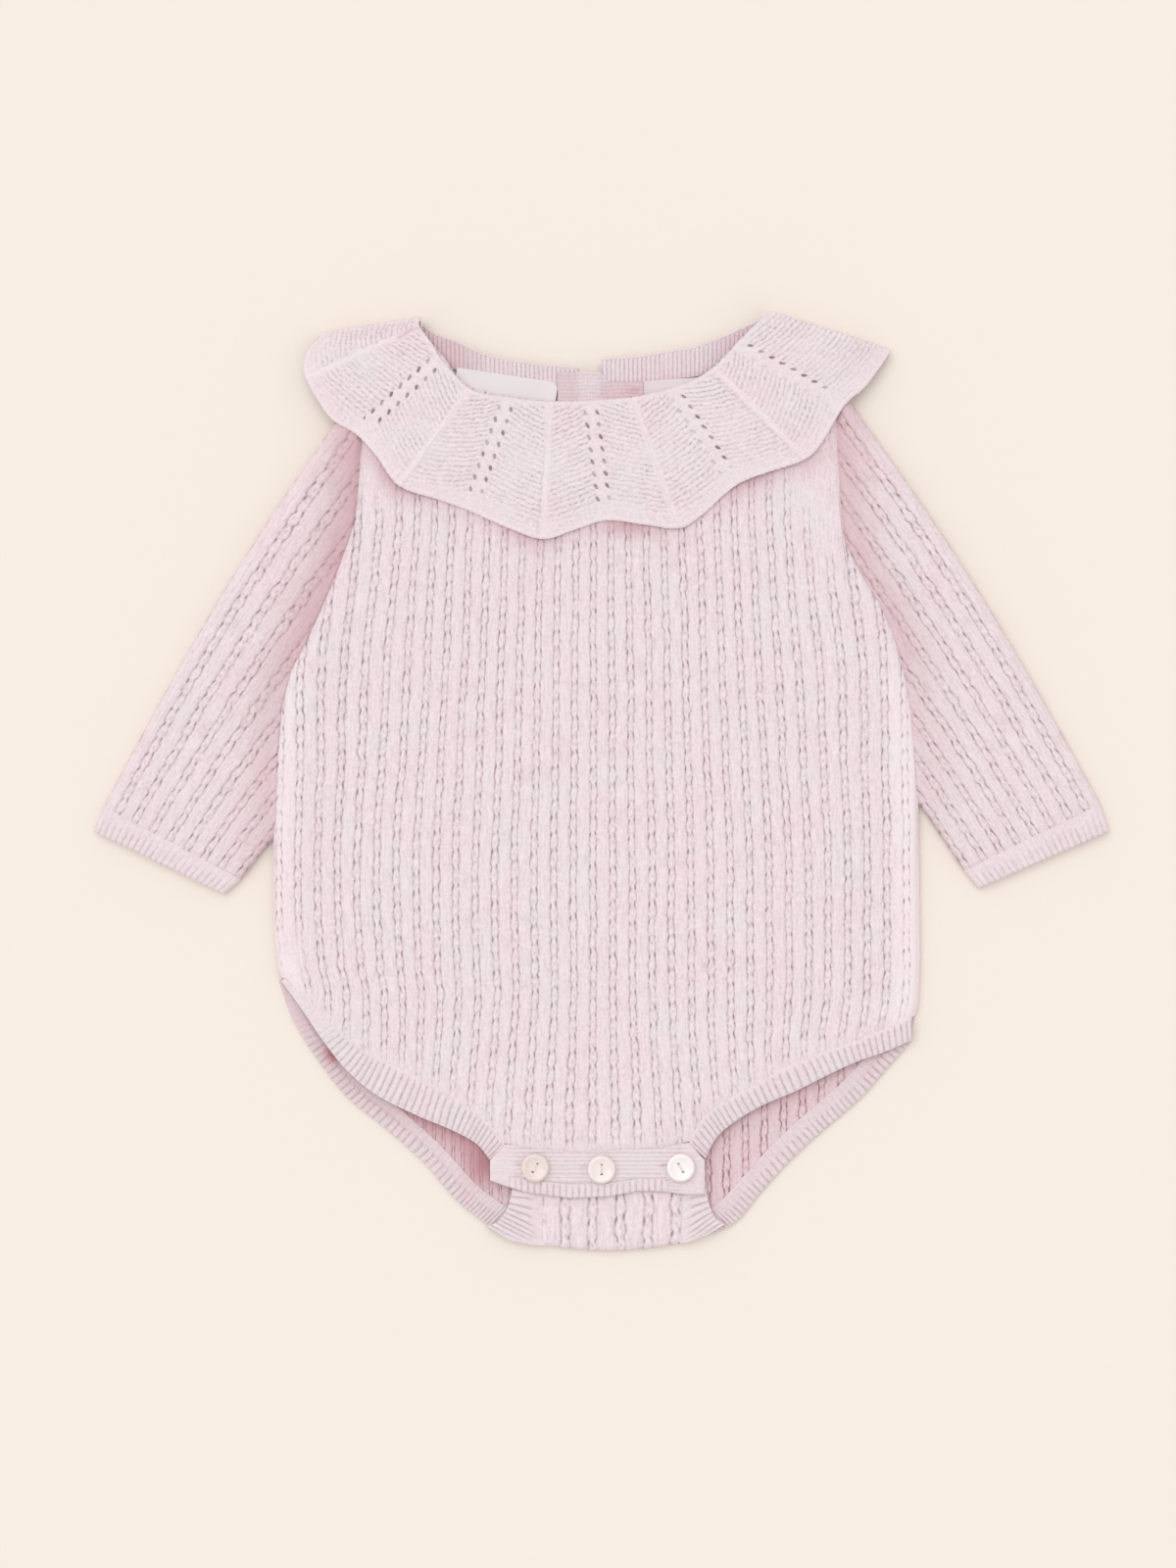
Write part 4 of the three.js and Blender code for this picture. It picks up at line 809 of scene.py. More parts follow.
def frontPanel():
    s, shades = panelSettings, shadeSettings
    half = s["units"] / 2
    rows = np.linspace(0, 1, int(s["length"] / s["rowPitch"]))
    c, x, y = panelGrid(ribbedColumns(-half, half), rows, frontCrown, frontHem, 0, True)
    wander = s["wander"] * uneven(x * 1.7, y * 0.8, 8, 60, 14) * smooth(fromSide(x, y), 0, 6)
    fromHem = y - y[:, :1]
    valley = seamDip["depth"] * np.exp(-(fromHem / seamDip["width"]) ** 2)
    outer = stack(x + wander, y, frontHeight(x, y) - valley)
    fade = smooth(fromSide(x, y), -0.5, 2.5) * mix(0.35, 1, smooth(fromHem, 0, 2.5))
    ci, xi, yi = coarseGrid(frontCrown, frontHem, wall["body"], True)
    reach = np.abs(sideX(ci, yi)) - wall["body"]
    xi = np.clip(xi, -reach, reach)
    under = stack(xi, yi, frontHeight(xi, yi, wall["body"], wall["body"]))
    course = y + 0.8 * uneven(x, y, 12, 80, 30)
    # Painted shade below the ruffle's edge, and painted light on the body's rims
    ruffleEdge = fromLine(x, y, ruffleLines["outX"], ruffleLines["outY"])
    shade = shades["ruffle"] * np.exp(-(ruffleEdge / 6) ** 2) * (1 + 0.8 * uneven(x, y, 31, 60, 25))
    shade = shade - bySide(x, shades["rim"]) * smooth(-fromSide(x, y), -14, -2) * smooth(-y, -60, -20)
    calm = sum(mound(x, y, *place) for place in calmPlaces)
    calm = np.clip(calm * 1.3 + shades["hem"] * (1 - smooth(fromHem, 0.5, 7)), 0, shades["most"])
    return clothMesh("frontPanel", outer, under, knit=((c, course, fade * (1 - calm)), (ci, yi, 0)),
                     shade=((shade, 0, calm), (0.1, 0, 0)))


# The inside of the back panel shows finer ribs in the left leg opening than in the right
def backPanel():
    s = panelSettings
    half = s["units"] / 2
    columns = ribbedColumns(-half, half)[::2]
    columns = np.concatenate([columns[:-1], [half]]) if columns[-1] != half else columns
    c, x, y = panelGrid(columns, np.linspace(0, 1, s["backRows"]), backCrown, backHem, 0, False)
    ci, xi, yi = coarseGrid(backCrown, backHem, 0, False)
    outer = stack(x, y, raised(y) + wall["body"] - s["backSunk"])
    calm = smooth(y, 118, 126)
    fade = smooth(fromSide(x, y), -0.5, 2.5) * (1 - calm) * 0.6
    # Painted shade inside the leg openings, and by the neck where the knit lies smooth
    return clothMesh("backPanel", outer, stack(xi, yi, raised(yi)),
                     knit=((np.where(c < 0, 2, 1) * c, y, fade), (ci, yi, 0)),
                     shade=((legShade(x, y) + 0.25 * calm, 0, calm), (0, 0, 0)))


knitted("frontPanel", frontPanel(), "body", panelSettings["rise"], bodyYarn, "front_panel")
knitted("backPanel", backPanel(), "body", panelSettings["backRise"], insideBody, "back_panel")
print("panels made")

# The sleeves and cuffs: flattened tubes
# dusk is painted shade on the sleeves' tops, most next to the body
sleeveSettings = dict(ribs=8, width=55.0, bulge=3.6, rise=0.55, round=3.2, tuck=1.3, cuffRise=0.28,
                      longest=260, dusk=dict(left=0.56, right=0.42), seed=dict(left=21, right=22),
                      cuffPitch=2.3)


def sleeveFrame(side):
    marks = {name: np.array(spot, float) for name, spot in sleeveMarks[side].items()}
    out = -1 if side == "left" else 1
    upper = marks["shoulder"] - marks["seamOuter"]
    upper = upper / np.linalg.norm(upper)
    lower = marks["underarm"] - marks["seamInner"]
    lower = lower / np.linalg.norm(lower)
    return marks, out, upper, lower


def sleeveSpots(side, c, places):
    marks, out, upper, lower = sleeveFrame(side)
    c = c[:, None]
    start = mix(marks["seamOuter"], marks["seamInner"], c)
    way = mix(upper, lower, c)
    way = way / np.linalg.norm(way, axis=1, keepdims=True)

    def outside(reach):
        spot = start + way * reach[:, None]
        edge = sideX(np.full(len(c), float(out)), spot[:, 1])
        return spot[:, 0] * out > edge * out - sleeveSettings["tuck"]

    length = furthest(outside, len(c), sleeveSettings["longest"])
    end = start + way * length[:, None]
    spots = start[:, None, :] + (end - start)[:, None, :] * places[None, :, None]
    bulge = sleeveSettings["bulge"] * np.sin(math.pi * places)[None, :] * (1 - c) ** 1.5
    away = np.array([out * upper[1], -out * upper[0]])
    return spots + bulge[:, :, None] * away, length


def sleeveLevel(side, spots, c, places, inset):
    base = raised(spots[..., 1])
    tall = mix(level["cuff"], level["sleeveMiddle"], smooth(places, 0, 0.3))
    total = mix(tall, level["sleeveEnd"], smooth(places, 0.55, 1))[None, :]
    total = total + 0.45 * uneven(spots[..., 0], spots[..., 1], sleeveSettings["seed"][side], 60, 22)
    total = total - 1.5 * smooth(places, 0.965, 1)[None, :] - 0.1 * np.exp(-(places / 0.008) ** 2)[None, :]
    around = quarterRound((np.minimum(c, 1 - c) * sleeveSettings["width"] - inset) / sleeveSettings["round"])
    return base, total, around[:, None]


# Round a flattened tube: over its top, then back along its underside, where the sign is negative
def roundTube(top, under):
    return np.concatenate([top, under]), np.concatenate([np.ones(len(top)), -np.ones(len(under))])[:, None]


def thereAndBack(count):
    return roundTube(np.linspace(0, 1, count), np.linspace(1, 0, count)[1:])


def sleeve(side):
    ribs = sleeveSettings["ribs"]
    top = ribbedColumns(0, ribs) / ribs
    under = np.concatenate([[0.985, 0.96], np.linspace(0.92, 0.08, 24), [0.04, 0.015, 0.0]])
    places = np.linspace(0, 1, 112)
    c, sign = roundTube(top, under)
    spots, length = sleeveSpots(side, c, places)
    base, total, around = sleeveLevel(side, spots, c, places, 0)
    z = np.where(sign > 0, base + total / 2 * (1 + around), base + total / 2 * (1 - around))
    fade = np.where(sign > 0, around ** 2, 0.0) * (smooth(places, 0, 0.03) * smooth(places, 1, 0.97))[None, :]
    outer = stack(spots[..., 0], spots[..., 1], z)
    course = places[None, :] * length[:, None]
    # Painted shade: a little over the whole sleeve, more on its top next to the body, most towards the
    # shoulder
    fromBody = np.abs(spots[..., 0]) - np.abs(sideX(spots[..., 0], spots[..., 1]))
    dusk = sleeveSettings["dusk"][side] * np.exp(-(fromBody / 13) ** 2)
    dusk = 0.06 + dusk * mix(0.55, 1, smooth(spots[..., 1], 0, 95)) * (sign > 0)
    edge = wall["body"] / sleeveSettings["width"]
    share, signIn = thereAndBack(22)
    ci = mix(edge, 1 - edge, share)
    placesIn = np.linspace(0, 1, 30)
    spotsIn, _ = sleeveSpots(side, ci, placesIn)
    base, total, around = sleeveLevel(side, spotsIn, ci, placesIn, wall["body"])
    zIn = base + total / 2 + signIn * (total / 2 - wall["body"]) * around
    inner = stack(spotsIn[..., 0], spotsIn[..., 1], zIn)
    return clothMesh("sleeve", outer, inner, True,
                     knit=((c[:, None] * ribs, course, fade), (ci[:, None] * ribs, placesIn[None] * 160, 0)),
                     shade=((dusk, 0, 0), (0.1, 0, 0)))


def cuff(side):
    marks, _, _, _ = sleeveFrame(side)
    depth = np.linalg.norm(marks["cuffOuter"] - marks["seamOuter"])
    width = np.linalg.norm(marks["cuffOuter"] - marks["cuffInner"])
    ribs = round(width / sleeveSettings["cuffPitch"])
    c, sign = roundTube(np.linspace(0, 1, ribs * 7 + 1), np.linspace(1, 0, 34)[1:])
    places = np.array([0, 0.04, 0.1, 0.18, 0.26, 0.34, 0.42, 0.5, 0.58, 0.66, 0.74, 0.82, 0.9, 0.96, 1])

    def layer(c, sign, places, inset):
        a = mix(marks["cuffOuter"], marks["cuffInner"], c[:, None])[:, None, :]
        b = mix(marks["seamOuter"], marks["seamInner"], c[:, None])[:, None, :]
        spots = mix(a, b, places[None, :, None])
        around = quarterRound((np.minimum(c, 1 - c) * width - inset) / sleeveSettings["round"])[:, None]
        half = level["cuff"] / 2 - inset
        end = 0.35 * (1 - quarterRound(places / 0.08)) + 0.1 * smooth(places, 0.8, 1)
        z = level["cuff"] / 2 + sign * half * around - end[None, :] * (sign > 0)
        return stack(spots[..., 0], spots[..., 1], z), around

    outer, around = layer(c, sign, places, 0)
    share, signIn = thereAndBack(20)
    edge = wall["body"] / width
    ci = mix(edge, 1 - edge, share)
    inner, _ = layer(ci, signIn, np.array([0, 0.5, 1.0]), wall["body"])
    calm = 0.2 + 0.6 * smooth(places, 0.35, 1)[None]
    fade = np.where(sign > 0, around, 0) * (1 - calm)
    return clothMesh("cuff", outer, inner, True,
                     knit=((c[:, None] * ribs, places[None] * depth, fade), (ci[:, None] * ribs, 0, 0)),
                     shade=((0, 0, calm), (0.2, 0, 0)))


for side in ("left", "right"):
    knitted(side + "Sleeve", sleeve(side), "body", sleeveSettings["rise"], bodyYarn, "sleeve_" + side)
    knitted(side + "Cuff", cuff(side), "rib", sleeveSettings["cuffRise"], ribYarn, "cuff_" + side)
print("sleeves made")

# The ribbed bands round the legs and the flap. Across each, from its free edge to its seam, its ribs rise and
# its face lies lower by these amounts.
bandSettings = dict(pitch=2.3, rise=0.26, width=10.0, under=1.3)
raisedAcross = table("share rise lower", (0, 0.6, 0.45), (0.1, 1, 0), (0.88, 1, 0), (1, 0.5, 0.2))
flapAcross = table("share rise lower", (0, 0.6, 0.45), (0.1, 1, 0), (0.8, 1, 0), (1, 0.35, 0.1))
insideAcross = table("share rise lower", (0, 0.7, 0.3), (0.08, 1, 0), (0.5, 1, 0), (0.58, 0.05, 0.3),
                     (1, 0.05, 0.1))


def ribBand(rows, freeLevel, seamLevel, across, seed, plain):
    fine = along(rows, np.linspace(0, 1, 200))
    length = np.hypot(np.diff(fine["freeX"]), np.diff(fine["freeY"])).sum()
    ribs = round(length / bandSettings["pitch"])
    places = np.linspace(0, 1, ribs * 7 + 1)
    shares = np.concatenate([[0, 0.03], np.linspace(0.08, 0.92, 13), [0.97, 1]])

    def layer(places, shares, thickness):
        at = {name: values[:, None] for name, values in along(rows, places).items()}
        reach = shares[None, :]
        x = mix(at["freeX"], at["seamX"], reach)
        y = mix(at["freeY"], at["seamY"], reach)
        top = mix(freeLevel(places)[:, None], seamLevel(at["seamX"], at["seamY"]), reach)
        wave = 0.12 * uneven(x, y, seed, 30, 8)
        return x, y, top - thickness, wave * (thickness == 0)

    x, y, z, wave = layer(places, shares, 0)
    lower = read(across, "share", "lower", shares)[None, :]
    outer = stack(x, y, z - lower + wave * 0.5)
    xi, yi, zi, _ = layer(np.linspace(0, 1, ribs), np.array([0, 0.5, 1.0]), wall["band"])
    start = 1 - smooth(places, plain[0] - 0.12, plain[0])[:, None]
    calm = 0.9 * np.maximum(start, smooth(shares, plain[1], 1)[None, :])
    fade = read(across, "share", "rise", shares)[None, :] * (1 - calm)
    slant = 0.25 * uneven(x, y, seed + 1, 40, 10)
    wale = places[:, None] * ribs + slant * (fade > 0.2)
    shade = shadeSettings["band"] * legShade(x, y) if across is insideAcross else 0
    return clothMesh("band", outer, stack(xi, yi, zi),
                     knit=((wale, shares[None, :] * bandSettings["width"], fade), (0, yi, 0)),
                     shade=((shade, 0, calm), (0.1, 0, 0)))


def frontSeam(x, y):
    return frontHeight(np.clip(x, -108, 108), y)


def hump(amount):
    return lambda places: level["body"] - 0.5 + amount * np.sin(math.pi * places)


def flat(height):
    return lambda *at: height + 0 * at[0]


# The same band with its last row moved on, so that its end runs under the placket
def longer(rows, amount):
    found = {name: values.copy() for name, values in rows.items()}
    wayX = rows["freeX"][-1] + rows["seamX"][-1] - rows["freeX"][-2] - rows["seamX"][-2]
    wayY = rows["freeY"][-1] + rows["seamY"][-1] - rows["freeY"][-2] - rows["seamY"][-2]
    size = math.hypot(wayX, wayY)
    for name in found:
        found[name][-1] += amount * (wayX if name.endswith("X") else wayY) / size
    return found


# Each band's lines, its levels at the free edge and at the seam, its shape across, its look, the solid that
# it stands for, then where its ribs start along it and the share of its width where they run out
under = bandSettings["under"]
bands = dict(
    frontLegBandLeft=(longer(frontBandLeft, under), hump(0.9), frontSeam, raisedAcross, ribYarn,
                      "front_leg_band_left", (0.3, 0.82)),
    frontLegBandRight=(longer(frontBandRight, under), hump(0.7), frontSeam, raisedAcross, ribYarn,
                       "front_leg_band_right", (0.0, 0.82)),
    backLegBandLeft=(backBandLeft, flat(1.6), flat(1.6), insideAcross, insideRib, "back_leg_band_left",
                     (0.2, 0.99)),
    backLegBandRight=(backBandRight, flat(1.6), flat(1.6), insideAcross, insideRib, "back_leg_band_right",
                      (0.0, 0.9)),
    flapBandLeft=(flapBandLeft, flat(4.1), flat(3.9), flapAcross, ribYarn, "flap_band_left", (0.0, 0.5)),
    flapBandRight=(flapBandRight, flat(4.1), flat(3.9), flapAcross, ribYarn, "flap_band_right", (0.0, 0.5)),
)
for seed, (name, (rows, free, seam, across, material, node, plain)) in enumerate(bands.items(), 40):
    knitted(name, ribBand(rows, free, seam, across, seed, plain), "rib", bandSettings["rise"], material, node)
print("bands made")

# The crotch flap, turned up from the back, and the buttoned placket over it
flapSettings = dict(left=-19.7, right=30.6, top=-133.5, units=5, foldX=4.0, foldY=-169.3, curve=0.0038,
                    seam=-156.7, length=35.4, rise=0.55)
# The outer face from the flap's top, round the fold to the seam
flapPath = table("along share out z", (0, 0, 5, 3.7), (24, 1, 5, 3.7), (26.5, 1, 2.6, 3.66),
                 (28, 1, 1.2, 3.4), (29.5, 1, 0.3, 2.7), (31, 1, 0, 1.85), (32.5, 1, 0.4, 0.8),
                 (34, 1, 1.6, 0.1), (35.4, 1, 3.2, 0))
placketSettings = dict(level=4.75, pitch=2.3, rise=0.3, rows=0.35,
                       slits=((-26.6, -137.6), (-3.4, -138.6), (24.4, -138.0)))


def crotchFlap():
    s = flapSettings
    x = mix(s["left"], s["right"], ribbedColumns(0, s["units"]) / s["units"])[:, None]
    run = np.linspace(0, s["length"], 46)[None, :]

    def foldLine(x):
        return s["foldY"] + s["curve"] * (x - s["foldX"]) ** 2

    share, out, z = (read(flapPath, "along", name, run) for name in ("share", "out", "z"))
    y = foldLine(x) + mix(s["top"] - foldLine(x) - 5, 0, share) + out
    y[:, -1] = s["seam"] - gap
    wale = ribbedColumns(0, s["units"])[:, None]
    xi = np.linspace(s["left"], s["right"], 12)[:, None]
    foldIn = foldLine(xi)
    yi = np.concatenate([mix(s["top"], foldIn + 4, np.array([[0, 0.5, 1]])), foldIn + 2.2, foldIn + 3.4,
                         0 * xi + s["seam"] - gap], 1)
    zi = np.array([[2.2, 2.2, 2.2, 1.85, 1.5, 1.5]])
    return clothMesh("flap", stack(x, y, z), stack(xi, yi, zi),
                     knit=((wale, -run, smooth(z, 2.0, 3.6)), (0, yi, 0)), shade=((0, 0, 0), (0.2, 0, 0)))


def placket():
    s = placketSettings
    left, right = placketEdges["x"][0], placketEdges["x"][-1]
    teeth = round((right - left) / s["pitch"])
    x = np.linspace(left, right, teeth * 7 + 1)[:, None]
    shares = np.concatenate([[0, 0.015, 0.05], np.linspace(0.1, 0.96, 24), [0.99, 1]])[None, :]
    top, bottom = read(placketEdges, "x", "top", x), read(placketEdges, "x", "bottom", x)
    y = mix(bottom, top, shares)
    end = smooth(np.minimum(x - left, right - x), -0.2, 1.2)
    teethOn = smooth(shares, 0.32, 0.26) * smooth(x, left + 4, left + 10) * smooth(x, right - 11, right - 15)
    calm = 0.9 * (1 - smooth(x, left + 5, left + 10) * smooth(x, right - 6, right - 10))
    edge = 0.5 * (1 - quarterRound(shares / 0.05)) + 0.25 * np.exp(-((shares - 0.33) / 0.03) ** 2)
    slit = sum(np.exp(-(((x - sx) / 2.4) ** 4) - ((y - sy) / 0.5) ** 2) for sx, sy in s["slits"])
    z = s["level"] + wall["band"] - edge - 0.35 * (1 - end) + 0.15 * uneven(x, y, 61, 30, 10) - 0.5 * slit
    xi = np.linspace(left, right, 30)[:, None]
    sharesIn = np.array([[0, 0.5, 1.0]])
    yi = mix(read(placketEdges, "x", "bottom", xi), read(placketEdges, "x", "top", xi), sharesIn)
    under = stack(xi, yi, s["level"])
    # Above the teeth the rows lie across, so the pattern's ribs turn into rows there
    wale = np.where(teethOn > 0.5, (x - left) / s["pitch"], y / 1.5)
    fade = mix(s["rows"], 0.8, teethOn) * smooth(np.abs(teethOn - 0.5), 0.05, 0.4) * (1 - calm)
    return clothMesh("placket", stack(x, y, z), under, knit=((wale, y, fade), (0, yi, 0)),
                     shade=((0.35 * slit, 0, calm), (0, 0, 0)))


knitted("crotchFlap", crotchFlap(), "body", flapSettings["rise"], bodyYarn, "crotch_flap")
knitted("placket", placket(), "rib", placketSettings["rise"], ribYarn, "placket")
print("crotch made")

# The back neckband, its inside up, and the strip and labels seen in the neck
neckSettings = dict(pitch=1.6, rise=0.3, fade=0.6, above=0.06, lip=dict(rise=0.25, under=1.45),
                    shade=dict(ends=0.36, foot=0.12))
stripSettings = dict(foot=112.0, tops=(149.1, 145.6), change=1.4, pitch=1.5, rise=0.4, fade=0.25,
                     marks=((12.5, 141.5), (13.5, 143.0)))
stripColumns = (-14.2, -13.8, -12, -10, -8.4, -7.6, -7, -6.4, -5.6, -4, -2, 0.4, 1.0, 1.6, 2.6, 6, 10, 14,
                16.6, 17.0)


def neckband(rows, seed, lowLeft, lowRight):
    s, lip = neckSettings, neckSettings["lip"]
    left, right = rows["x"][0], rows["x"][-1]
    ribs = round((right - left) / s["pitch"])
    x = np.linspace(left, right, ribs * 7 + 1)[:, None]
    shares = np.array([[0, 0.05, 0.14, 0.26, 0.38, 0.5, 0.62, 0.74, 0.86, 0.94, 1]])

    def layer(x, shares, thick):
        width = mix(lowLeft, lowRight, smooth(x, left, right))
        y = read(rows, "x", "y", x) - width * (1 - shares)
        return stack(x, y, raised(y) + s["above"] + thick)

    edge = 0.5 * (1 - quarterRound((1 - shares) / 0.12)) - lip["rise"] * smooth(shares, 0.35, 0.2)
    edge = edge + (lip["rise"] - 0.02) * (1 - quarterRound(shares / 0.15))
    outer = layer(x, shares, wall["band"] - edge + 0.08 * uneven(x, 5 * shares, seed, 25, 7))
    inner = layer(np.linspace(left, right, 30)[:, None], np.array([[0, 0.24, 0.32, 1.0]]),
                  np.array([[lip["under"], lip["under"], 0, 0]]))
    shade = s["shade"]["ends"] * smooth(np.abs(x), 32, 54) + s["shade"]["foot"] * smooth(shares, 0.55, 0.1)
    knit = ((x - left) / s["pitch"], shares * neckbandWidth, s["fade"])
    return clothMesh("neckband", outer, inner, knit=(knit, (0, inner[..., 1], 0)),
                     shade=((shade, 0, 0), (0, 0, 0)))


# The button stand of the back opening, with a fold along its middle
def strip():
    s = stripSettings
    x = np.array(stripColumns)[:, None]
    y = mix(s["foot"], np.where(x < s["change"], *s["tops"]), np.linspace(0, 1, 26)[None, :])
    fold = 0.55 * smooth(x, 1.8, 0.9) * smooth(x, -7.6, -5.6) - 0.3 * (x < -14) - 0.3 * (x > 16.8)
    z = level["inside"] + wall["strip"] + fold + 0.12 * uneven(x, y, 71, 20, 7)
    marks = sum(mound(x, y, *mark, 2.2, 0.5) for mark in s["marks"])
    shade = 0.35 * marks + 0.26 * smooth(x, 1.2, 2.4) + 0.24 * smooth(x, -5.8, -7.4)
    xi = np.array([stripColumns[0], -7.0, 5, stripColumns[-1]])[:, None]
    yi = mix(s["foot"], np.where(xi < s["change"], *s["tops"]), np.array([[0, 0.5, 1.0]]))
    inner = stack(xi, yi, level["inside"] + np.array([0.25, 0.15, 0, 0])[:, None])
    return clothMesh("strip", stack(x, y, z), inner, knit=((x / s["pitch"], y, s["fade"]), (0, yi, 0)),
                     shade=((shade, 0, 0), (0, 0, 0)))


neckbandLong = joined(table("x y", (-62.6, 165.8), (-60.8, 164.6)), neckbandLeft)
neckRise = neckSettings["rise"]
knitted("neckbandLeft", neckband(neckbandLong, 81, 11.0, 8.0), "rib", neckRise, neckRib, "neckband_left")
knitted("neckbandRight", neckband(neckbandRight, 82, 9.3, 11.4), "rib", neckRise, neckRib, "neckband_right")
knitted("backPlacket", strip(), "rows", stripSettings["rise"], rowYarn, "back_placket")


labelSettings = dict(corner=2.0, bow=0.35, unevenness=0.08)


def label(name, centre, width, length, turn, node, ribbon):
    s = labelSettings
    u = np.linspace(-0.5, 0.5, 34)[:, None]
    cut = s["corner"] / length * np.clip((u - 0.5 + s["corner"] / width) / (s["corner"] / width), 0, 1) ** 2
    v = np.linspace(-0.5, 0.5, 14)[None, :] * (1 - 2 * cut)
    angle = math.radians(turn)
    x = centre[0] + u * width * math.cos(angle) - v * length * math.sin(angle)
    y = centre[1] + u * width * math.sin(angle) + v * length * math.cos(angle)
    bow = s["bow"] * np.cos(u * 2.2) * np.cos(v * 2.4) + s["unevenness"] * uneven(x, y, 91, 20, 8)
    z = level["inside"] + bow
    mesh = clothMesh(name, stack(x, y, z + wall["label"]), stack(x, y, z))
    weld(mesh)
    mesh.materials.append(ribbon)
    shown(name, mesh, node)


label("labelLeft", (-33.2, 142.0), 37.0, 12.4, -8.5, "label_left", satin)
label("labelRight", (28.6, 141.2), 23.0, 11.0, 4, "label_right", shadedSatin)
print("neck made")

# The ruffle collar
ruffleSettings = dict(across=20, along=118, rise=0.42, shut=(0, 0.15, 0.1, 0.55, 0.8), backSpacing=27.0,
                      turn=dict(out=1.8, back=1.2), curl=dict(dent=0.3, shade=0.55, width=0.8),
                      light=dict(face=0.13, rim=0.14))
# Where the ruffle's left end curls over
curlLine = table("x y", (-71.5, 161.0), (-67.5, 163.6), (-64.6, 164.6), (-62.6, 163.2))


def ruffleSpot(place, reach):
    at = along(ruffleLines, place)
    x = mix(at["neckX"], at["outX"], reach)
    y = mix(at["neckY"], at["outY"], reach)
    droop = at["hangs"] * smooth(reach, 0.62, 1) + level["ruffleSettle"] * smooth(reach, 0.5, 1)
    z = level["ruffleRoot"] + wall["ruffle"] / 2 + level["ruffleWave"] * at["lift"] * reach ** 1.3 - droop
    return stack(x, y, z)


# The ends of the ruffle turn down and under
def ruffleFold(end, down, reach):
    at = ruffleSpot(np.full_like(reach, end), reach)
    shift = ruffleSettings["turn"]["out"] * math.sin(down * math.pi) - ruffleSettings["turn"]["back"] * down
    way = (0.1, 1.0) if end == 0 else (0.3, 0.95)
    turn = (1 - math.cos(down * math.pi)) / 2
    z = mix(at[..., 2], wall["ruffle"], turn)
    return stack(at[..., 0] + way[0] * shift, at[..., 1] + way[1] * shift, z)


def ruffleLayer(places, reaches, away):
    turns = np.linspace(1, 0, 12)[:-1]
    middle = ruffleSpot(places[:, None], reaches[None, :])
    left = np.stack([ruffleFold(0, down, reaches) for down in turns])
    right = np.stack([ruffleFold(1, down, reaches) for down in turns[::-1]])
    spots = np.concatenate([left, middle, right])
    lengthwise = np.gradient(spots, axis=1)
    crosswise = np.gradient(spots, axis=0)
    normal = np.cross(lengthwise, crosswise)
    normal = normal / (np.linalg.norm(normal, axis=2, keepdims=True) + 1e-9)
    return spots + normal * away, len(turns)


# For each point: its run along the ruffle, its reach from the neck, how far it lies from each of some rows
# and from the nearest of them, and how far from the outer edge
def laceValues(spots, extra, steps, lines):
    across = np.linalg.norm(np.diff(spots, axis=0), axis=2)
    run = np.concatenate([np.zeros((1, spots.shape[1])), np.cumsum(across, axis=0)])
    down = np.linalg.norm(np.diff(spots, axis=1), axis=2)
    reach = np.concatenate([np.zeros((spots.shape[0], 1)), np.cumsum(down, axis=1)], 1)
    signed = np.stack([run - run[extra + row * steps] for row in lines])
    return run, reach, signed, np.abs(signed).min(axis=0), reach[:, -1:] - reach


def frontRuffle():
    s, curled = ruffleSettings, ruffleSettings["curl"]
    count = len(ruffleLines["lift"]) - 1
    places = np.linspace(0, 1, count * s["across"] + 1)
    outer, extra = ruffleLayer(places, np.linspace(0, 1, s["along"]), wall["ruffle"] / 2)
    _, reach, _, ridge, edge = laceValues(outer, extra, s["across"], ridgeRows)
    _, _, signed, eyelet, _ = laceValues(outer, extra, s["across"], eyeletRows)
    motif = np.abs(signed).argmin(0)
    side = np.take_along_axis(signed, motif[None], 0)[0]
    shut = np.array(s["shut"])[motif] * smooth(-side, 0, 0.5)
    fade = np.ones(outer.shape[:2])
    fade[:extra] = np.linspace(0, 1, extra)[:, None]
    fade[-extra:] = np.linspace(1, 0, extra)[:, None]
    fade *= smooth(edge, -0.3, 0.8)
    outer[..., 2] -= 0.45 * (1 - quarterRound(edge))
    curl = fromLine(outer[..., 0], outer[..., 1], curlLine["x"], curlLine["y"]) / curled["width"]
    curl = np.exp(-curl ** 2)
    outer[..., 2] -= curled["dent"] * curl
    inner, _ = ruffleLayer(np.linspace(0, 1, count * 3 + 1), np.linspace(0, 1, 20), -wall["ruffle"] / 2)
    # Painted shade where the left end curls over, painted light along the outer rim, and the whole face made
    # lighter
    shade = curled["shade"] * curl - s["light"]["face"] - s["light"]["rim"] * smooth(edge, 2.2, 0.4)
    return clothMesh("ruffle", outer, inner, knit=((side, reach, fade), (0, 0, 0)),
                     lace=((ridge, eyelet, edge), (9, 9, 1)), shade=((shade, shut, 0), (0.1, 0, 0)))


def backRuffle(rows):
    places, reaches = np.linspace(0, 1, 60), np.linspace(0, 1, 30)
    spacing = ruffleSettings["backSpacing"]

    def layer(places, reaches, z):
        at = along(rows, places)
        x = mix(at["neckX"][:, None], at["outX"][:, None], reaches[None, :])
        y = mix(at["neckY"][:, None], at["outY"][:, None], reaches[None, :])
        return stack(x, y, z)

    outer, inner = layer(places, reaches, 0.0), layer(places[::3], reaches[::3], wall["ruffle"])
    run, reach, _, _, edge = laceValues(outer, 0, 1, (0,))
    ridge = np.abs((run / spacing) % 1 - 0.5) * spacing
    eyelet = spacing / 2 - ridge
    return clothMesh("backRuffle", outer, inner, knit=((eyelet, reach, 0), (0, 0, 0)),
                     lace=((ridge, eyelet, edge), (9, 9, 1)), shade=((0, 0, 0), (0, 0, 0)))


def ruffle(name, mesh, rise, node):
    knitted(name, mesh, "lace", rise, laceYarn, node)


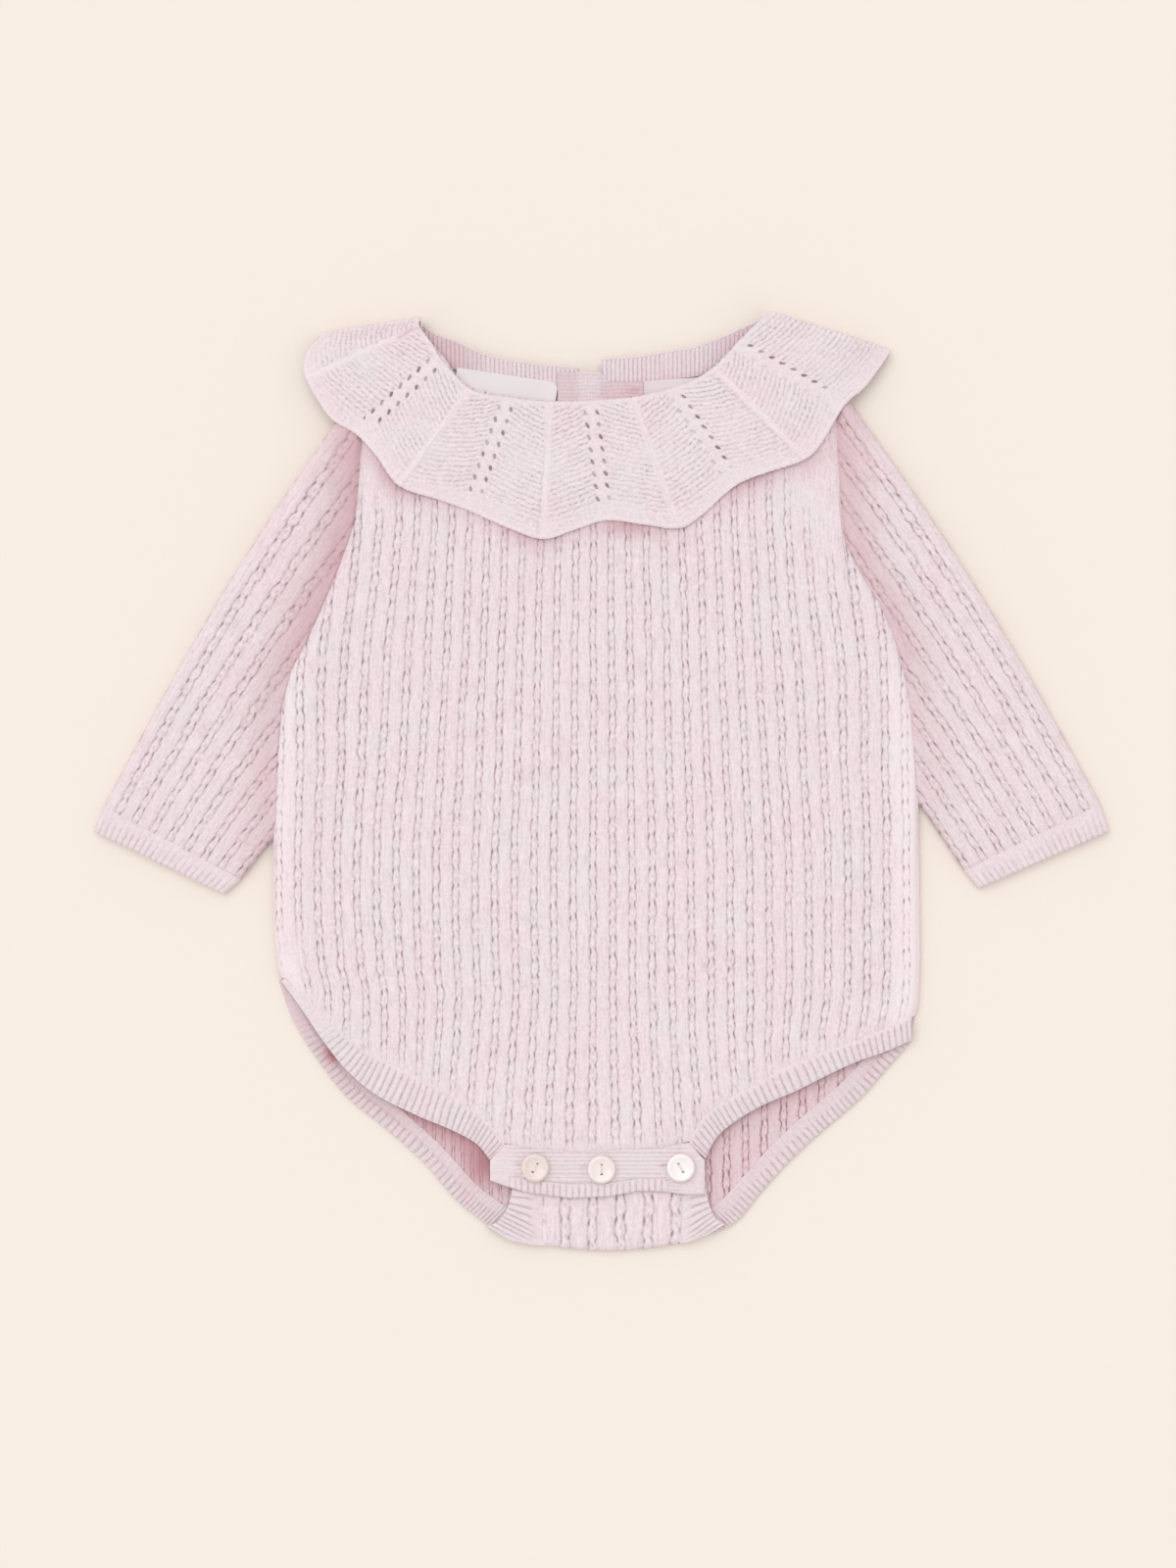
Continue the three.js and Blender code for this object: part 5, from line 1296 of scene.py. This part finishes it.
leftRows = {name: values[:backRuffleSplit] for name, values in backRuffleLines.items()}
rightRows = {name: values[backRuffleSplit:] for name, values in backRuffleLines.items()}
ruffle("ruffleFront", frontRuffle(), ruffleSettings["rise"], "ruffle_front")
ruffle("ruffleBackLeft", backRuffle(leftRows), 0.0, "ruffle_back_left")
ruffle("ruffleBackRight", backRuffle(rightRows), 0.0, "ruffle_back_right")
print("ruffle made")

# Loops of yarn along the linked and bound edges
loopTree = loopGraph()


def edgeLoops(name, points, pitch, length, width, seed):
    curve = bpy.data.curves.new(name + "Line", "CURVE")
    curve.dimensions = "3D"
    spline = curve.splines.new("POLY")
    spline.points.add(len(points) - 1)
    for spot, place in zip(spline.points, points):
        spot.co = (*(place * mm), 1)
    raw = inScene(name + "Line", curve)
    values = dict(pitch=pitch * mm, length=length * mm, width=width * mm, seed=seed,
                  material=loopYarn)
    plain = applyGraph(raw, loopTree, values)
    bpy.data.objects.remove(raw)
    shown(name, plain)


def ruffleEdgeLine(reach, above):
    places = np.linspace(0, 1, 240)
    return ruffleSpot(places, 0 * places + reach) + (0, 0, above)


def bandTopLine(rows):
    x = np.linspace(rows["x"][0] + 0.3, rows["x"][-1] - 0.3, 60)
    y = read(rows, "x", "y", x) - 0.2
    return np.stack([x, y, raised(y) + 1.45], 1)


edgeLoops("neckLoops", ruffleEdgeLine(0.004, 0.35), 1.25, 1.7, 0.9, 5)
edgeLoops("ruffleLoops", ruffleEdgeLine(0.992, 0.3), 1.45, 1.9, 0.8, 6)
edgeLoops("neckbandLoopsLeft", bandTopLine(neckbandLong), 1.3, 1.7, 0.9, 7)
edgeLoops("neckbandLoopsRight", bandTopLine(neckbandRight), 1.3, 1.7, 0.9, 8)
print("edges made")

# The buttons, with the thread between their holes
buttonSettings = dict(radius=5.1, height=2.1, hole=0.48, apart=3.2, base=7.0, strand=0.2, segments=48,
                      drillSegments=14)
buttonPlaces = ((-22.3, -138.6, 60), (1.7, -139.2, 90), (30.3, -138.6, 120))
# Radius and height of the profile, as shares of the button's own
buttonProfile = ((0.4, 0), (0.78, 0.05 / 2.1), (0.93, 0.2), (1, 0.48), (0.985, 0.7), (0.93, 0.9), (0.85, 1),
                 (0.77, 0.98), (0.66, 0.88), (0.56, 0.8), (0.45, 0.76), (0.2, 0.75))
threadSettings = dict(spread=0.19, steps=12, round=7, over=0.5, rise=0.08, drop=1.5)


def latheMesh(name, profile, segments):
    points, faces = [(0, 0, profile[0][1])], []
    rings = profile[1:-1]
    turns = [tau * k / segments for k in range(segments)]
    for r, z in rings:
        points += [(r * math.cos(turn), r * math.sin(turn), z) for turn in turns]
    points.append((0, 0, profile[-1][1]))
    for k in range(segments):
        nxt = (k + 1) % segments
        faces.append((0, 1 + nxt, 1 + k))
        for i in range(len(rings) - 1):
            a, b = 1 + i * segments, 1 + (i + 1) * segments
            faces.append((a + k, a + nxt, b + nxt, b + k))
        last = 1 + (len(rings) - 1) * segments
        faces.append((last + k, last + nxt, len(points) - 1))
    mesh = bpy.data.meshes.new(name)
    mesh.from_pydata([tuple(v * mm for v in p) for p in points], [], faces)
    return mesh


def button(name, x, y, turn, material, node):
    s = buttonSettings
    rings = [(s["radius"] * share, s["height"] * up) for share, up in buttonProfile]
    disc = inScene("disc", latheMesh("disc", [(0, 0), *rings, (0, rings[-1][1])], s["segments"]))
    drills = []
    angle = math.radians(turn)
    for side in (-1, 1):
        shape = latheMesh("drill", [(0, -1), (s["hole"], -1), (s["hole"], 3), (0, 3)], s["drillSegments"])
        drill = inScene("drill", shape)
        reach = side * s["apart"] / 2 * mm
        drill.location = (reach * math.cos(angle), reach * math.sin(angle), 0)
        hole = disc.modifiers.new("hole", "BOOLEAN")
        hole.operation, hole.object = "DIFFERENCE", drill
        drills.append(drill)
    bpy.context.view_layer.update()
    plain = bpy.data.meshes.new_from_object(disc.evaluated_get(bpy.context.evaluated_depsgraph_get()))
    for old in (disc, *drills):
        bpy.data.objects.remove(old)
    plain.transform(Matrix.Translation((x * mm, y * mm, s["base"] * mm)))
    plain.materials.clear()
    plain.materials.append(material)
    shown(name, plain, node)
    thread(name + "Thread", x, y, angle)


# Two strands from hole to hole, closed at their ends
def thread(name, x, y, angle):
    s, t = buttonSettings, threadSettings
    across = np.array([-math.sin(angle), math.cos(angle), 0])
    way = np.array([math.cos(angle), math.sin(angle), 0])
    middle = np.array([x, y, s["base"] + s["height"] * buttonProfile[-1][1]])
    steps, around = t["steps"], t["round"]
    points, faces = [], []
    for offset in (-t["spread"], t["spread"]):
        base = len(points)
        for i in range(steps + 1):
            place = i / steps
            rise = t["rise"] - t["drop"] * abs(2 * place - 1) ** 6
            centre = middle + way * (place - 0.5) * (s["apart"] + t["over"]) + across * offset + (0, 0, rise)
            for j in range(around):
                a = tau * j / around
                out = across * math.cos(a) + np.array([0, 0, math.sin(a)])
                points.append(tuple((centre + out * s["strand"]) * mm))
        for i in range(steps):
            for j in range(around):
                a, b = base + i * around + j, base + i * around + (j + 1) % around
                faces.append((a, b, b + around, a + around))
        faces.append(tuple(base + j for j in reversed(range(around))))
        faces.append(tuple(base + steps * around + j for j in range(around)))
    mesh = bpy.data.meshes.new(name)
    mesh.from_pydata(points, [], faces)
    weld(mesh)
    mesh.materials.append(threadLook)
    shown(name, mesh)


for number, (place, shell) in enumerate(zip(buttonPlaces, shells), 1):
    button("button" + str(number), *place, shell, "button_" + str(number))
print("buttons made")
# The floor, the light and the camera
floorSettings = dict(size=30.0, level=-0.0002, colour=(0.915, 0.843, 0.778, 1), roughness=0.85, specular=0.1)
lightSettings = dict(sun=0.95, angle=55, colour=(1.0, 0.99, 0.975), way=(-0.25, 0.35, 0.95),
                     sky=(1.0, 0.985, 0.965, 1), skyStrength=0.75)
cameraSettings = dict(lens=85, sensor=36, place=(-0.0032, 0, 1.345))

floorLook = bpy.data.materials.new("paleFloor")
floorLook.use_nodes = True
floorInputs = floorLook.node_tree.nodes["Principled BSDF"].inputs
floorInputs["Base Color"].default_value = floorSettings["colour"]
floorInputs["Roughness"].default_value = floorSettings["roughness"]
floorInputs["Specular IOR Level"].default_value = floorSettings["specular"]
floorMesh = bpy.data.meshes.new("floor")
corners = [(x * floorSettings["size"], y * floorSettings["size"], floorSettings["level"])
           for x, y in ((-1, -1), (1, -1), (1, 1), (-1, 1))]
floorMesh.from_pydata(corners, [], [(0, 1, 2, 3)])
floorMesh.materials.append(floorLook)
inScene("floor", floorMesh)

sun = bpy.data.lights.new("sun", "SUN")
sun.energy = lightSettings["sun"]
sun.angle = math.radians(lightSettings["angle"])
sun.color = lightSettings["colour"]
inScene("sun", sun).rotation_euler = Vector(lightSettings["way"]).to_track_quat("Z", "Y").to_euler()
world = bpy.data.worlds.new("world")
world.use_nodes = True
skyInputs = world.node_tree.nodes["Background"].inputs
skyInputs["Color"].default_value = lightSettings["sky"]
skyInputs["Strength"].default_value = lightSettings["skyStrength"]

cameraData = bpy.data.cameras.new("camera")
cameraData.lens = cameraSettings["lens"]
cameraData.sensor_width = cameraSettings["sensor"]
camera = inScene("camera", cameraData)
camera.location = cameraSettings["place"]
scene = bpy.context.scene
scene.world, scene.camera = world, camera
scene.view_settings.view_transform = "Standard"
print("stage set")
